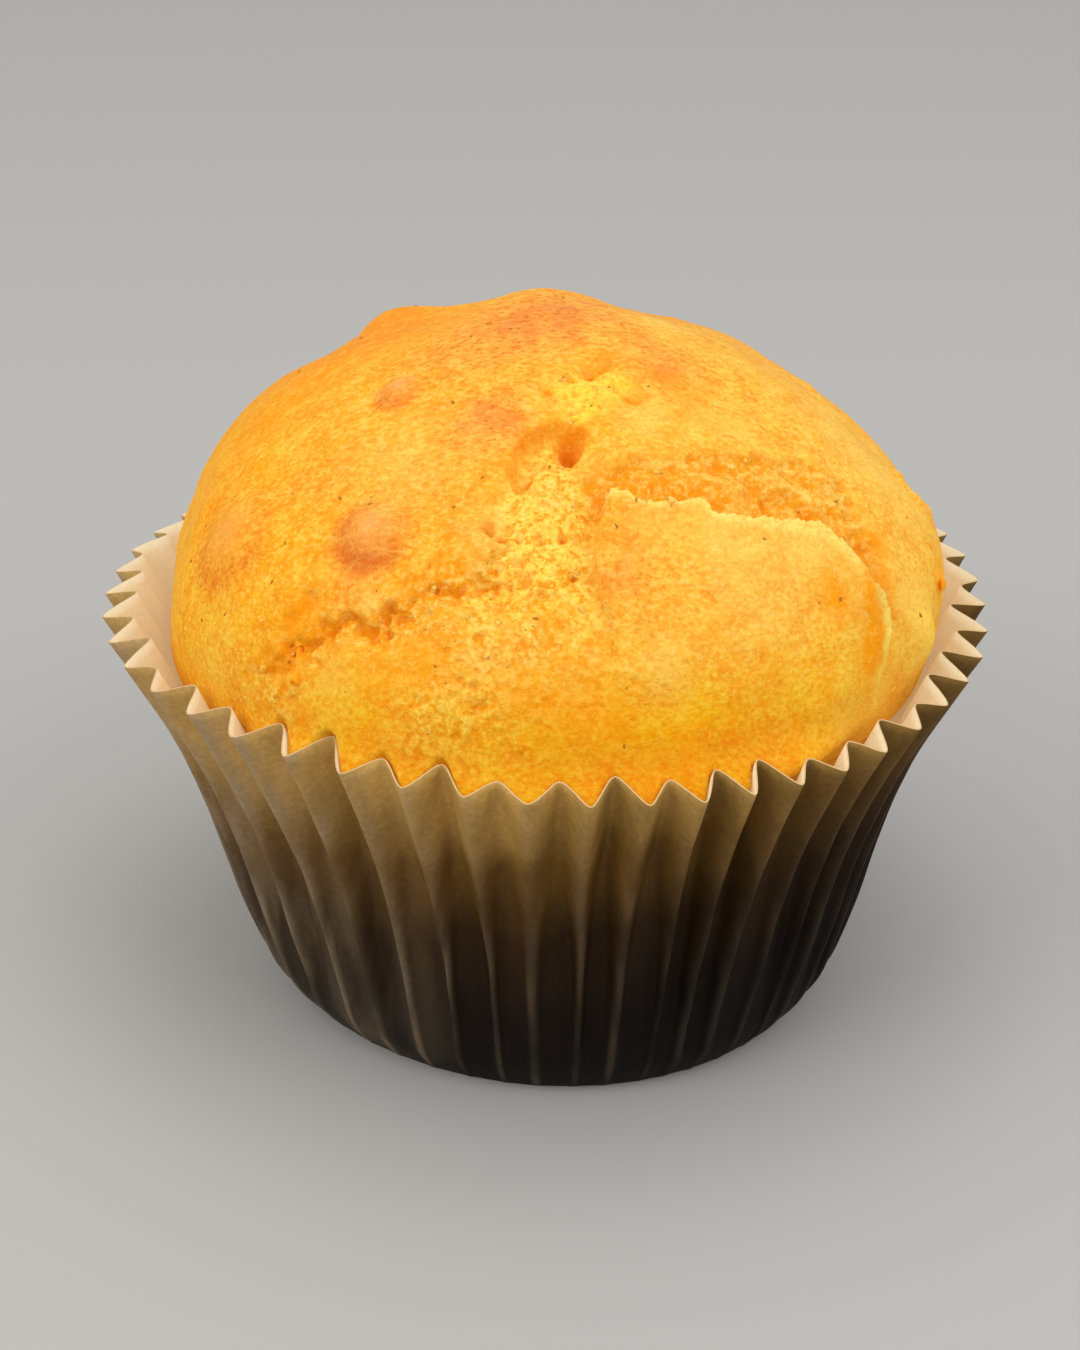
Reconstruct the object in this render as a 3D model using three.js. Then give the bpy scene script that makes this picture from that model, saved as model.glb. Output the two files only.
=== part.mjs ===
// A carrot muffin in its pleated paper baking case.
//
// Millimetres, +Z up. The origin is the middle of the flat base that the muffin stands on, +X is to the right
// and -Y is the front. Two pieces: the baked muffin, solid all through, and the paper case that it was baked in.
// Azimuths are in degrees, counter-clockwise from +X, so the front is at 270.

import * as THREE from "three";

const degrees = THREE.MathUtils.degToRad;
const { clamp, lerp, smoothstep } = THREE.MathUtils;

// ---- Paper case: a flat disc of paper pressed over a mould, its extra paper taken up in pleats ----
const BASE_RADIUS = 24.1; // flat underside, up to where the paper bends
const FOOT_RADIUS = 25.4; // tips of the pleats just above the rounded bottom edge
const FOOT_BEND = 0.12; // share of the slant that the rounded bottom edge takes
const RIM_TIP_RADIUS = 38; // tips of the pleats at the rim
const WALL_BULGE = [-1.05, 0.4]; // how far the wall leaves a straight slant: one half wave, then two
const SLANT_LENGTH = 37.6; // paper from the bottom edge to the rim, the same along every fold
const WALL_THICKNESS = 0.4; // stands in for the sheet, measured away from the axis
const LOBES = { count: 3, azimuth: 297, atBase: 0.4, atRim: 0.9 }; // the case is a little out of round

const PLEAT_COUNT = 50;
const FIRST_TIP_AZIMUTH = 3.8;
const FOLD_ROUNDING = 0.8; // share of a sharp fold's depth that a rounded fold keeps
const FOLD_SHARE = 0.1; // share of a pleat's width that each rounded tip or fold takes up, each way
const PLEAT_MIDDLE = 0.97; // middle radius of a pleat, as a share of its tip's
const WIDTH_CHANGES = [ // how the pleats crowd and spread round the case
  { lobes: 2, azimuth: 78, swing: 2.27 },
  { lobes: 3, azimuth: 20, swing: 1.48 },
];
const DEPTH_CHANGES = [ // how the pleats differ in depth, as shares of the mean depth
  { lobes: 7, azimuth: 238, swing: 0.16 },
  { lobes: 19, azimuth: 237, swing: 0.2 },
];

const WALL_LEVELS = [0, 0.05, 0.18, 0.42, 0.72, 1]; // shares of the slant where the wall has a ring of points

// ---- Muffin ----
const CLEARANCE = 0.35; // muffin to paper
const FLUTE_FILL = 0.45; // share of a pleat's depth that the batter filled before it set
const CROWN_CENTRE = new THREE.Vector2(-0.45, -0.8); // the dome rose a little to the left and the front
const CROWN_RADIUS = 33.2;
const SHOULDER_HEIGHT = 37.4; // where the dome's side stands upright
const TOP_HEIGHT = 60.6;
const CROWN_SQUARENESS = { across: 1.5, up: 2.04 }; // powers of the dome's outline
const BODY_LEVELS = [0, 0.05, 0.18, 0.42, 0.72, 0.86, 0.93]; // the same for the muffin inside the case
const FACET = 1.8; // edge length of the dome's facets

// Swellings and hollows of the dome. A place is its azimuth and its distance down the crust from the top.
const SWELLINGS = [
  { azimuth: 141, down: 19, reach: 5, height: 1 }, // back left shoulder of the crust
  { azimuth: 112, down: 14, reach: 5, height: -0.6 }, // dip between shoulder and summit
  { azimuth: 95, down: 7, reach: 4, height: 0.6 }, // summit
  { azimuth: 55, down: 14, reach: 7, height: -0.9 }, // dip to the right of the summit
  { azimuth: 15, down: 23, reach: 7, height: -0.9 }, // flat of the right flank
  { azimuth: 4, down: 31, reach: 6, height: -0.9 },
  { azimuth: 352, down: 40, reach: 5, height: 0.4 }, // right edge, standing over the paper
  { azimuth: 184, down: 38, reach: 8, height: -0.6 }, // left edge
  { azimuth: 218, down: 15.5, reach: 1.8, height: 0.7 }, // small blister
  { azimuth: 240, down: 28.5, reach: 3.2, height: 0.9 }, // large blister
  { azimuth: 206, down: 34, reach: 5, height: 0.8 }, // broad blister
];

// The dome split as it rose. The front right quarter lifted as a flap, whose lip stands over a torn hollow.
const FLAP = {
  left: 3.2, // distances along +X and +Y from the axis of the case
  lipAtLeft: -22.3,
  lipSlope: 0.148, // the lip runs back a little towards the right
  lift: 1.1,
  liftReach: 9,
  hollow: 1.9,
  hollowReach: 3.2,
  edge: 1.2, // width of the step
};

// The crack from the middle of the front to the left edge, bowed back as it nears the edge.
const CRACK = {
  left: -25,
  right: 0,
  front: -28.3,
  bowStart: -10,
  bow: 5.2,
  bowLength: 15,
  depth: 1.1,
  reach: 1.3,
};

// Where the two splits meet, the crust is missing and open crumb shows, with one deep hole above it.
const CRUMB = { x: -1.5, y: -23.5, reachX: 4.5, reachY: 6, depth: 0.7 };
const HOLE = { x: 0.2, y: -18.2, reach: 1.7, depth: 1.8 };

// ---- Facets ----

// One closed body from rings of points, each given as points in order of their turn, lowest ring first, with a
// centre point closing each end. Neighbouring rings may differ in how many points they have.
function solidFromRings(bottomCentre, rings, topCentre) {
  const positions = [...bottomCentre];
  const starts = [];
  for (const ring of rings) {
    starts.push(positions.length / 3);
    ring.forEach((point) => positions.push(...point));
  }
  const topIndex = positions.length / 3;
  positions.push(...topCentre);

  const triangles = [];
  const first = rings[0].length;
  for (let i = 0; i < first; i += 1) {
    triangles.push(0, starts[0] + ((i + 1) % first), starts[0] + i);
  }
  for (let level = 0; level + 1 < rings.length; level += 1) {
    stitch(triangles, starts[level], rings[level].length, starts[level + 1], rings[level + 1].length);
  }
  const lastStart = starts.at(-1);
  const last = rings.at(-1).length;
  for (let i = 0; i < last; i += 1) {
    triangles.push(lastStart + i, lastStart + ((i + 1) % last), topIndex);
  }

  const geometry = new THREE.BufferGeometry();
  geometry.setAttribute("position", new THREE.Float32BufferAttribute(positions, 3));
  geometry.setIndex(triangles);
  geometry.computeVertexNormals();
  return geometry;
}

// Triangles between two rings, stepping along whichever ring lags behind in its turn.
function stitch(triangles, lowerStart, lowerCount, upperStart, upperCount) {
  let lower = 0;
  let upper = 0;
  while (lower < lowerCount || upper < upperCount) {
    const lowerIndex = lowerStart + (lower % lowerCount);
    const upperIndex = upperStart + (upper % upperCount);
    const stepLower = upper === upperCount
      || (lower < lowerCount && (lower + 1) / lowerCount <= (upper + 1) / upperCount);
    if (stepLower) {
      triangles.push(lowerIndex, lowerStart + ((lower + 1) % lowerCount), upperIndex);
      lower += 1;
    } else {
      triangles.push(lowerIndex, upperStart + ((upper + 1) % upperCount), upperIndex);
      upper += 1;
    }
  }
}

// ---- Pleats ----

function sumOfWaves(waves, azimuth) {
  return waves.reduce((sum, { lobes, azimuth: crest, swing }) => {
    return sum + swing * Math.cos(lobes * (azimuth - degrees(crest)));
  }, 0);
}

// Azimuth of the point a given number of turns round the case. Whole pleats start at their tips.
function azimuthAt(turn) {
  const even = degrees(FIRST_TIP_AZIMUTH) + turn * 2 * Math.PI;
  return even + degrees(sumOfWaves(WIDTH_CHANGES, even));
}

// Radius of the pleats' tips in a case without lobes, at a share of the slant: 0 at the base, 1 at the rim.
function tipRadius(share) {
  const straight = FOOT_RADIUS + (RIM_TIP_RADIUS - FOOT_RADIUS) * share;
  const [oneWave, twoWaves] = WALL_BULGE;
  const bulge = oneWave * Math.sin(Math.PI * share) + twoWaves * Math.sin(2 * Math.PI * share);
  const bend = Math.max(0, 1 - share / FOOT_BEND) ** 2;
  return straight + bulge - (FOOT_RADIUS - BASE_RADIUS) * bend;
}

// Depth from tip to fold: the pleats' slanted sides use up what the flat disc has more than the wall's girth.
function pleatDepth(share) {
  const girthShare = Math.PI / PLEAT_COUNT;
  const flank = (BASE_RADIUS + SLANT_LENGTH * share) * girthShare;
  const halfPitch = tipRadius(share) * PLEAT_MIDDLE * girthShare;
  return FOLD_ROUNDING * Math.sqrt(Math.max(0, flank ** 2 - halfPitch ** 2));
}

// Radius of the paper's outer face. The crease is 0 at a pleat's tip and 1 at its fold.
function paperRadius(azimuth, share, crease) {
  const swing = lerp(LOBES.atBase, LOBES.atRim, share);
  const lobe = swing * Math.cos(LOBES.count * (azimuth - degrees(LOBES.azimuth)));
  const depth = pleatDepth(share) * (1 + sumOfWaves(DEPTH_CHANGES, azimuth));
  return tipRadius(share) + lobe - depth * crease;
}

// Height of the paper. Every line from the base to the rim is equally long, so the folds, which lean out less
// than the tips, stand higher.
function paperHeight(azimuth, share, crease) {
  const lean = paperRadius(azimuth, 1, crease) - paperRadius(azimuth, 0, crease);
  return share * Math.sqrt(SLANT_LENGTH ** 2 - lean ** 2);
}

function pointAt(radius, azimuth, height) {
  return new THREE.Vector3(radius * Math.cos(azimuth), radius * Math.sin(azimuth), height);
}

// Each pleat has two points along its rounded tip and two along its fold.
const PLEAT_STATIONS = [
  { part: -FOLD_SHARE, crease: 0 },
  { part: FOLD_SHARE, crease: 0 },
  { part: 0.5 - FOLD_SHARE, crease: 1 },
  { part: 0.5 + FOLD_SHARE, crease: 1 },
];

function paperRing(share, inset, lift) {
  const ring = [];
  for (let pleat = 0; pleat < PLEAT_COUNT; pleat += 1) {
    for (const { part, crease } of PLEAT_STATIONS) {
      const azimuth = azimuthAt((pleat + part) / PLEAT_COUNT);
      const radius = paperRadius(azimuth, share, crease) - inset;
      ring.push(pointAt(radius, azimuth, paperHeight(azimuth, share, crease) + lift));
    }
  }
  return ring;
}

function makePaperCase() {
  const outside = WALL_LEVELS.map((share) => paperRing(share, 0, 0));
  const inside = WALL_LEVELS.map((share) => paperRing(share, WALL_THICKNESS, share === 0 ? WALL_THICKNESS : 0));
  const underside = new THREE.Vector3(0, 0, 0);
  const floor = new THREE.Vector3(0, 0, WALL_THICKNESS);
  return solidFromRings(underside, [...outside, ...inside.reverse()], floor);
}

// ---- The dome of the muffin ----

// Outline of the dome from its shoulder (0) to its top (1): a superellipse, across as x and upwards as y.
class CrownOutline extends THREE.Curve {
  getPoint(share, target = new THREE.Vector2()) {
    const angle = (share * Math.PI) / 2;
    const across = CROWN_RADIUS * Math.max(0, Math.cos(angle)) ** (2 / CROWN_SQUARENESS.across);
    const rise = (TOP_HEIGHT - SHOULDER_HEIGHT) * Math.sin(angle) ** (2 / CROWN_SQUARENESS.up);
    return target.set(across, SHOULDER_HEIGHT + rise);
  }
}

const crownOutline = new CrownOutline();
const crownLength = crownOutline.getLength();

// A point of the plain dome and its outward normal, by azimuth and distance down the crust from the top.
function crownSpot(azimuth, down) {
  const share = clamp(1 - down / crownLength, 0, 1);
  const outline = crownOutline.getPointAt(share);
  const along = crownOutline.getTangentAt(share);
  const point = pointAt(outline.x, azimuth, outline.y);
  point.x += CROWN_CENTRE.x;
  point.y += CROWN_CENTRE.y;
  return { point, normal: pointAt(along.y, azimuth, -along.x) };
}

const swellings = SWELLINGS.map(({ azimuth, down, reach, height }) => {
  return { centre: crownSpot(degrees(azimuth), down).point, reach, height };
});

function swellingRelief(point) {
  return swellings.reduce((sum, { centre, reach, height }) => {
    return sum + height * Math.exp(-point.distanceToSquared(centre) / reach ** 2);
  }, 0);
}

function flapRelief({ x, y }) {
  const along = x - FLAP.left;
  const ahead = FLAP.lipAtLeft + FLAP.lipSlope * along - y;
  const lifted = FLAP.lift * Math.exp(-Math.max(0, ahead) / FLAP.liftReach);
  const torn = -FLAP.hollow * Math.exp(Math.min(0, ahead) / FLAP.hollowReach);
  const step = smoothstep(ahead, -FLAP.edge / 2, FLAP.edge / 2);
  return (torn + (lifted - torn) * step) * smoothstep(along, -FLAP.edge, FLAP.edge);
}

function crackRelief({ x, y }) {
  const bow = CRACK.bow * (Math.max(0, CRACK.bowStart - x) / CRACK.bowLength) ** 2;
  const aside = (y - CRACK.front - bow) / CRACK.reach;
  const fade = smoothstep(x, CRACK.left, CRACK.bowStart) * (1 - smoothstep(x, CRACK.bowStart, CRACK.right));
  return -CRACK.depth * fade * Math.exp(-(aside ** 2));
}

function crumbRelief({ x, y }) {
  const crumb = ((x - CRUMB.x) / CRUMB.reachX) ** 2 + ((y - CRUMB.y) / CRUMB.reachY) ** 2;
  const hole = ((x - HOLE.x) ** 2 + (y - HOLE.y) ** 2) / HOLE.reach ** 2;
  return -CRUMB.depth * Math.exp(-crumb) - HOLE.depth * Math.exp(-hole);
}

function crustRelief(point) {
  return swellingRelief(point) + flapRelief(point) + crackRelief(point) + crumbRelief(point);
}

// ---- The muffin ----

// Distance from the case's axis to the upright side of the dome, which stands a little off that axis.
function crownSideRadius(azimuth) {
  const towards = CROWN_CENTRE.dot(new THREE.Vector2(Math.cos(azimuth), Math.sin(azimuth)));
  return towards + Math.sqrt(towards ** 2 + CROWN_RADIUS ** 2 - CROWN_CENTRE.lengthSq());
}

// Inside the case the batter pressed against the paper's folds and partly filled the pleats between them, up to
// where the case widens past the muffin's own upright side.
function bodyRing(share) {
  const ring = [];
  const lift = share === 0 ? WALL_THICKNESS + CLEARANCE : 0;
  for (let pleat = 0; pleat < PLEAT_COUNT; pleat += 1) {
    for (const { part, crease } of [{ part: 0, crease: 1 - FLUTE_FILL }, { part: 0.5, crease: 1 }]) {
      const azimuth = azimuthAt((pleat + part) / PLEAT_COUNT);
      const pressed = paperRadius(azimuth, share, crease) - WALL_THICKNESS - CLEARANCE;
      const radius = Math.min(pressed, crownSideRadius(azimuth));
      ring.push(pointAt(radius, azimuth, paperHeight(azimuth, share, crease) + lift));
    }
  }
  return ring;
}

function crownRing(down) {
  const { point } = crownSpot(0, down);
  const count = Math.max(6, Math.round((2 * Math.PI * (point.x - CROWN_CENTRE.x)) / FACET));
  return Array.from({ length: count }, (_, i) => {
    const spot = crownSpot(azimuthAt(i / count), down);
    return spot.point.addScaledVector(spot.normal, crustRelief(spot.point));
  });
}

function makeMuffin() {
  const rings = BODY_LEVELS.map(bodyRing);
  const steps = Math.round(crownLength / FACET);
  for (let i = steps; i > 0; i -= 1) {
    rings.push(crownRing((i * crownLength) / steps));
  }
  const underside = new THREE.Vector3(0, 0, WALL_THICKNESS + CLEARANCE);
  const { point: top, normal } = crownSpot(0, 0);
  return solidFromRings(underside, rings, top.addScaledVector(normal, crustRelief(top)));
}

// ---- The whole ----

function namedMesh(name, geometry, material) {
  const mesh = new THREE.Mesh(geometry, material);
  mesh.name = name;
  return mesh;
}

const bakedCrumb = new THREE.MeshStandardMaterial({ color: "#eda63c", roughness: 0.75, metalness: 0 });
const bakingPaper = new THREE.MeshStandardMaterial({ color: "#b7a684", roughness: 0.7, metalness: 0 });

const group = new THREE.Group();
group.add(namedMesh("muffin", makeMuffin(), bakedCrumb));
group.add(namedMesh("paper_case", makePaperCase(), bakingPaper));

export default group;
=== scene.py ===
"""A carrot muffin in its pleated paper baking case: the looks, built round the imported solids.

Sizes are in millimetres where they are named and in metres in every mesh. +Z is up and -Y is the front.
Azimuths are in degrees, counter-clockwise from +X, so the front is at 270.
"""

import math

import bpy
import numpy as np
from mathutils import Euler, Matrix, Vector, noise
from mathutils.bvhtree import BVHTree


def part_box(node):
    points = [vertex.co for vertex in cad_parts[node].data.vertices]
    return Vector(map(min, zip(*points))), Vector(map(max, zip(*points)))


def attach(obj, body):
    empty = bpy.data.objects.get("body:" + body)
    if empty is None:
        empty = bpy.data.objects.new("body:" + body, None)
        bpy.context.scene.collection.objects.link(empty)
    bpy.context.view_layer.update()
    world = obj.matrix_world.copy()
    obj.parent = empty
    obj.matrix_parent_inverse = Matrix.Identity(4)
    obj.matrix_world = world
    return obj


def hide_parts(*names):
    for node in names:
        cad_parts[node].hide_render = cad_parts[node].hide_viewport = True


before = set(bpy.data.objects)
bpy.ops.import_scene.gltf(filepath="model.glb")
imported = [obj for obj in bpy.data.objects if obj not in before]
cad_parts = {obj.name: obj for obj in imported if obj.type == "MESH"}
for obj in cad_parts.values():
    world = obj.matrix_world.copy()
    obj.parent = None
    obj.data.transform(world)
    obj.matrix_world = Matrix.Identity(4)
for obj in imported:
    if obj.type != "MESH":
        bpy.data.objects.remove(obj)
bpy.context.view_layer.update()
MM = 0.001


# ---- Paper case ----
# One disc of greaseproof baking paper, brown outside and cream inside, pressed over a round mould. Its
# extra paper stands in 50 pleats. The batter pushed the panels between them outwards, so low down only the
# sharp outer folds stand proud, as narrow ridges.

case_low, case_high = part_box("paper_case")
RIM_RADIUS = (case_high.x - case_low.x) / 2 / MM

CASE_SIZES = {
    "Pleats": 50,
    "Points per pleat": 16,
    "Wall rows": 42,
    "Floor rows": 4,
    "Base radius": 24.1 * MM,
    "Foot radius": 25.4 * MM,
    "Foot bend": 0.12,  # share of the slant that the rounded bottom edge takes
    "Rim radius": RIM_RADIUS * MM,
    "Slant length": 37.6 * MM,
    "Wall bulge": -1.05 * MM,
    "Wall sway": 0.4 * MM,
    "Fold rounding": 0.8,  # share of a sharp fold's depth that a rounded fold keeps
    "Fold crispness": 0.86,  # 0 is a smooth wave and 1 a sharp zigzag
    "Ridge width low down": 0.5,  # share of the pleat
    "Narrowest ridge": 0.6,  # shares of that width
    "Widest ridge": 1.5,
    "Ridge shift": 0.13,  # most that a ridge strays to one side, as a share of the pleat
    "Crinkle depth": 0.3 * MM,
    "Crinkle length": 22.0 * MM,
    "Seed": 7,
}
PLEAT_MIDDLE = 0.97  # middle radius of a pleat, as a share of its tip's
FOOT_ZONE = 0.3  # share of the slant over which the pleats open out from the foot
FOOT_DEPTH = 0.3  # share of their depth that is left at the foot
RIDGE_ZONE = (0.85, 0.35)  # shares of the slant: full pleats above the first, narrow ridges below the second
SMOOTH_FOOT = 10 * MM  # height over which the stiff base keeps the wall from crinkling
FIRST_TIP_AZIMUTH = 3.8
WIDTH_WAVES = [(2, 78, math.radians(2.27)), (3, 20, math.radians(1.48))]  # lobes, azimuth of the crest, swing
DEPTH_WAVES = [(7, 238, 0.16), (19, 237, 0.2)]
LOBE_COUNT = 3
LOBE_AZIMUTH = 297
LOBE_SWINGS = (0.4 * MM, 0.9 * MM)  # at the base and at the rim
PAPER_THICKNESS = 0.12 * MM  # thicker than real greaseproof paper, so that its cut edge shows


def add(tree, kind, inputs=(), **settings):
    """Adds a node with its settings and links. A kind such as "MULTIPLY" is a Math node that does that sum.
    Inputs are numbers, nodes or their outputs, in socket order or by socket name."""
    made = tree.nodes.new(kind if "Node" in kind else "ShaderNodeMath")
    if "Node" not in kind:
        made.operation = kind
    for setting, value in settings.items():
        setattr(made, setting, value)
    sockets = [socket for socket in made.inputs if socket.enabled]
    if isinstance(inputs, dict):
        names = [socket.name for socket in sockets]
        pairs = [(sockets[names.index(name)], value) for name, value in inputs.items()]
    else:
        pairs = zip(sockets, inputs)
    for socket, value in pairs:
        if isinstance(value, bpy.types.Node):
            value = next(output for output in value.outputs if output.enabled)
        if isinstance(value, bpy.types.NodeSocket):
            tree.links.new(value, socket)
        else:
            socket.default_value = value
    return made


def times(tree, product, *factors):
    """A node that multiplies its inputs, one after the other."""
    for factor in factors:
        product = add(tree, "MULTIPLY", [product, factor])
    return product


def squared(tree, value):
    """A node that multiplies a value by itself."""
    return add(tree, "POWER", [value, 2.0])


def ramp(tree, value, start, end, low=0.0, high=1.0, **settings):
    """A node that goes from low to high while its value goes from start to end, and stays level beyond."""
    return add(tree, "ShaderNodeMapRange", [value, start, end, low, high], **settings)


def scaled(tree, vector, scale):
    """A node that makes a vector or a colour larger by a scale."""
    return add(tree, "ShaderNodeVectorMath", {"Vector": vector, "Scale": scale}, operation="SCALE")


def dyed(tree, colour, dye):
    """A node that multiplies a colour by a dye, channel by channel."""
    return add(tree, "ShaderNodeVectorMath", [colour, dye], operation="MULTIPLY")


def squeezed(tree, place, squeeze):
    """A node that squeezes a place axis by axis, so that a texture laid by it stretches."""
    return add(tree, "ShaderNodeVectorMath", [place, squeeze], operation="MULTIPLY")


def cloudy(tree, place, size, **inputs):
    """A node with cloudy noise, whose lumps have this size in millimetres."""
    return add(tree, "ShaderNodeTexNoise", {"Vector": place, "Scale": 1 / (size * MM), **inputs})


def random_between(tree, low, high, **source):
    """A node that gives each point or piece its own random number."""
    return add(tree, "FunctionNodeRandomValue", {"Min": low, "Max": high, **source}, data_type="FLOAT")


def start_tree(name, sizes):
    """A geometry tree with one named input for each size, and its group input node."""
    tree = bpy.data.node_groups.new(name, "GeometryNodeTree")
    tree.interface.new_socket("Geometry", in_out="INPUT", socket_type="NodeSocketGeometry")
    tree.interface.new_socket("Geometry", in_out="OUTPUT", socket_type="NodeSocketGeometry")
    for label, value in sizes.items():
        kind = "NodeSocketInt" if isinstance(value, int) else "NodeSocketFloat"
        tree.interface.new_socket(label, in_out="INPUT", socket_type=kind)
    return tree, add(tree, "NodeGroupInput")


def end_tree(tree, geometry, material):
    """Makes instances real, gives them their material and closes the tree."""
    real = add(tree, "GeometryNodeRealizeInstances", [geometry])
    painted = add(tree, "GeometryNodeSetMaterial", {"Geometry": real, "Material": material})
    add(tree, "NodeGroupOutput", [painted])


def grow(name, tree, sizes, source=None):
    """Runs a tree on a mesh with these sizes and keeps the result as a plain mesh object."""
    piece = bpy.data.objects.new(name, source or bpy.data.meshes.new(name))
    bpy.context.scene.collection.objects.link(piece)
    modifier = piece.modifiers.new(name, "NODES")
    modifier.node_group = tree
    for item in tree.interface.items_tree:
        if item.in_out == "INPUT" and item.name in sizes:
            modifier[item.identifier] = sizes[item.name]
    graph = bpy.context.evaluated_depsgraph_get()
    mesh = bpy.data.meshes.new_from_object(piece.evaluated_get(graph), depsgraph=graph)
    piece.modifiers.clear()
    piece.data = mesh
    mesh.name = name
    mesh.shade_smooth()
    return piece


def linear(hex_colour):
    """An sRGB hex colour as linear red, green, blue and alpha."""
    channels = [int(hex_colour[i : i + 2], 16) / 255 for i in (1, 3, 5)]
    return [c / 12.92 if c <= 0.04045 else ((c + 0.055) / 1.055) ** 2.4 for c in channels] + [1.0]


def start_material(name):
    """A new material, its node tree, emptied, and the place on the object that the tree is asked about."""
    material = bpy.data.materials.new(name)
    material.use_nodes = True
    tree = material.node_tree
    tree.nodes.clear()
    return material, tree, add(tree, "ShaderNodeTexCoord").outputs["Object"]


def end_material(tree, surface):
    """Closes a material with one shader that has this surface."""
    add(tree, "ShaderNodeOutputMaterial", [add(tree, "ShaderNodeBsdfPrincipled", surface)])


def mixed(tree, share, first, second):
    """A colour between two others."""
    return add(tree, "ShaderNodeMix", [share, first, second], data_type="RGBA", clamp_factor=True)


# Greaseproof paper, dyed brown on one side: dull, a little fibrous, and darker low down: partly fat soaked
# into it, mostly painted shade where the wall faces down, away from the light, climbing higher on the
# right. Fibres lie about 0.5 mm apart and the fat spreads in patches of about 8 mm. The ridges are paler,
# less soaked and with a painted highlight that is strongest on the left, and a painted sheen and painted
# light lie on the left of the wall.
PAPER_TONES = [  # height, colour
    (0, "#0b0805"), (9, "#170e06"), (18, "#33200a"), (27, "#70501f"), (36, "#bf9750"),
]
RIDGE_TONE = "#75644f"
# painted sheen, laid in streaks on the left of the wall
PAINTED_SHEEN_TONE = "#86755e"
FIBRE_SIZE = 0.5
SOAK_SIZE = 8.0
SOAK_SWING = 6.0  # between the highest and the lowest that one patch of fat has climbed
STREAK_SIZE = 3.0  # the soaking differs from pleat to pleat
RIGHT_SHADE_LEAN = 0.2  # painted shade: the dark climbs higher on the right, away from the light: its rise from left to right, as a slope

brown_paper, tree, place = start_material("greaseproof_paper_brown_side")
parts = add(tree, "ShaderNodeSeparateXYZ", [place])
sideways, height = parts.outputs["X"], parts.outputs["Z"]
soaked = cloudy(tree, place, SOAK_SIZE, Detail=3.0, Roughness=0.5)
fibres = cloudy(tree, place, FIBRE_SIZE, Detail=4.0, Roughness=0.65)
uneven = add(tree, "MULTIPLY_ADD", [soaked, SOAK_SWING * MM, height])
centred = add(tree, "SUBTRACT", [uneven, SOAK_SWING / 2 * MM])
level = add(tree, "MULTIPLY_ADD", [sideways, -RIGHT_SHADE_LEAN, centred])
# Partly fat soaked into the paper, mostly painted shade: the tones darken from the rim down to the foot.
tone = linear(PAPER_TONES[0][1])
for (low, _), (high, colour) in zip(PAPER_TONES, PAPER_TONES[1:]):
    rise = ramp(tree, level, low * MM, high * MM)
    tone = mixed(tree, rise, tone, linear(colour))
upright = squeezed(tree, place, (1.0, 1.0, 0.12))
streaks = cloudy(tree, upright, STREAK_SIZE, Detail=2.0)
crease = add(tree, "ShaderNodeAttribute", attribute_name="crease").outputs["Fac"]
ridge = ramp(tree, crease, 0.6, 0.0, interpolation_type="SMOOTHSTEP")
# The ridges are paler: partly paper less soaked with fat, partly a painted highlight that fades from left to
# right.
streak_share = ramp(tree, streaks, 0.38, 0.62, 0.2, 0.75)
ridge_light_from_left = ramp(tree, sideways, 8 * MM, -24 * MM, 0.15, 0.95)
lit_pale_ridges = times(tree, ridge, streak_share, ridge_light_from_left)
lightened = mixed(tree, lit_pale_ridges, tone, linear(RIDGE_TONE))
# Painted sheen: a pale greyish reflection painted in streaks on the left of the wall.
painted_sheen_left = ramp(tree, sideways, -6 * MM, -32 * MM, 0.0, 0.75)
with_painted_sheen = mixed(tree, times(tree, painted_sheen_left, streak_share), lightened, linear(PAINTED_SHEEN_TONE))
speckle = ramp(tree, fibres, 0.3, 0.7, 0.84, 1.14)
streaked = ramp(tree, streaks, 0.35, 0.65, 0.8, 1.2)
# Painted light: the wall is painted lighter on the left, the side the light falls on, and darker on the
# right.
painted_light_from_left = ramp(tree, sideways, 30 * MM, -30 * MM, 0.8, 1.3)
shade = times(tree, speckle, streaked, painted_light_from_left)
coloured = scaled(tree, with_painted_sheen, shade)
bump = add(tree, "ShaderNodeBump", {"Strength": 0.5, "Distance": 0.06 * MM, "Height": fibres})
surface = {"Base Color": coloured, "Normal": bump, "Roughness": 0.6, "IOR": 1.45, "Specular IOR Level": 0.12}
end_material(tree, surface)

# The undyed side of the same paper: cream, dull, with the faint mottling of its fibres. A painted glow, an
# emission, stands in for the light that comes through from the other side.
PAINTED_GLOW = "#ffe2b0"

cream_paper, tree, place = start_material("greaseproof_paper_cream_side")
fibres = cloudy(tree, place, FIBRE_SIZE, Detail=4.0, Roughness=0.65)
mottling = ramp(tree, fibres, 0.3, 0.7)
coloured = mixed(tree, mottling, linear("#d0c4a6"), linear("#dacfb4"))
bump = add(tree, "ShaderNodeBump", {"Strength": 0.5, "Distance": 0.06 * MM, "Height": fibres})
end_material(
    tree,
    {
        "Base Color": coloured,
        "Normal": bump,
        "Roughness": 0.6,
        "IOR": 1.45,
        "Subsurface Weight": 0.4,
        "Subsurface Radius": (1.0, 0.9, 0.75),
        "Subsurface Scale": 0.6 * MM,
        "Emission Color": linear(PAINTED_GLOW),
        "Emission Strength": 0.2,
    },
)

# The cut edge of the paper: bare pale fibres.
cut_paper, tree, place = start_material("greaseproof_paper_cut_edge")
fibres = cloudy(tree, place, FIBRE_SIZE, Detail=4.0)
coloured = mixed(tree, fibres, linear("#d2a970"), linear("#e8c894"))
end_material(tree, {"Base Color": coloured, "Roughness": 0.7, "IOR": 1.45})


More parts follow.
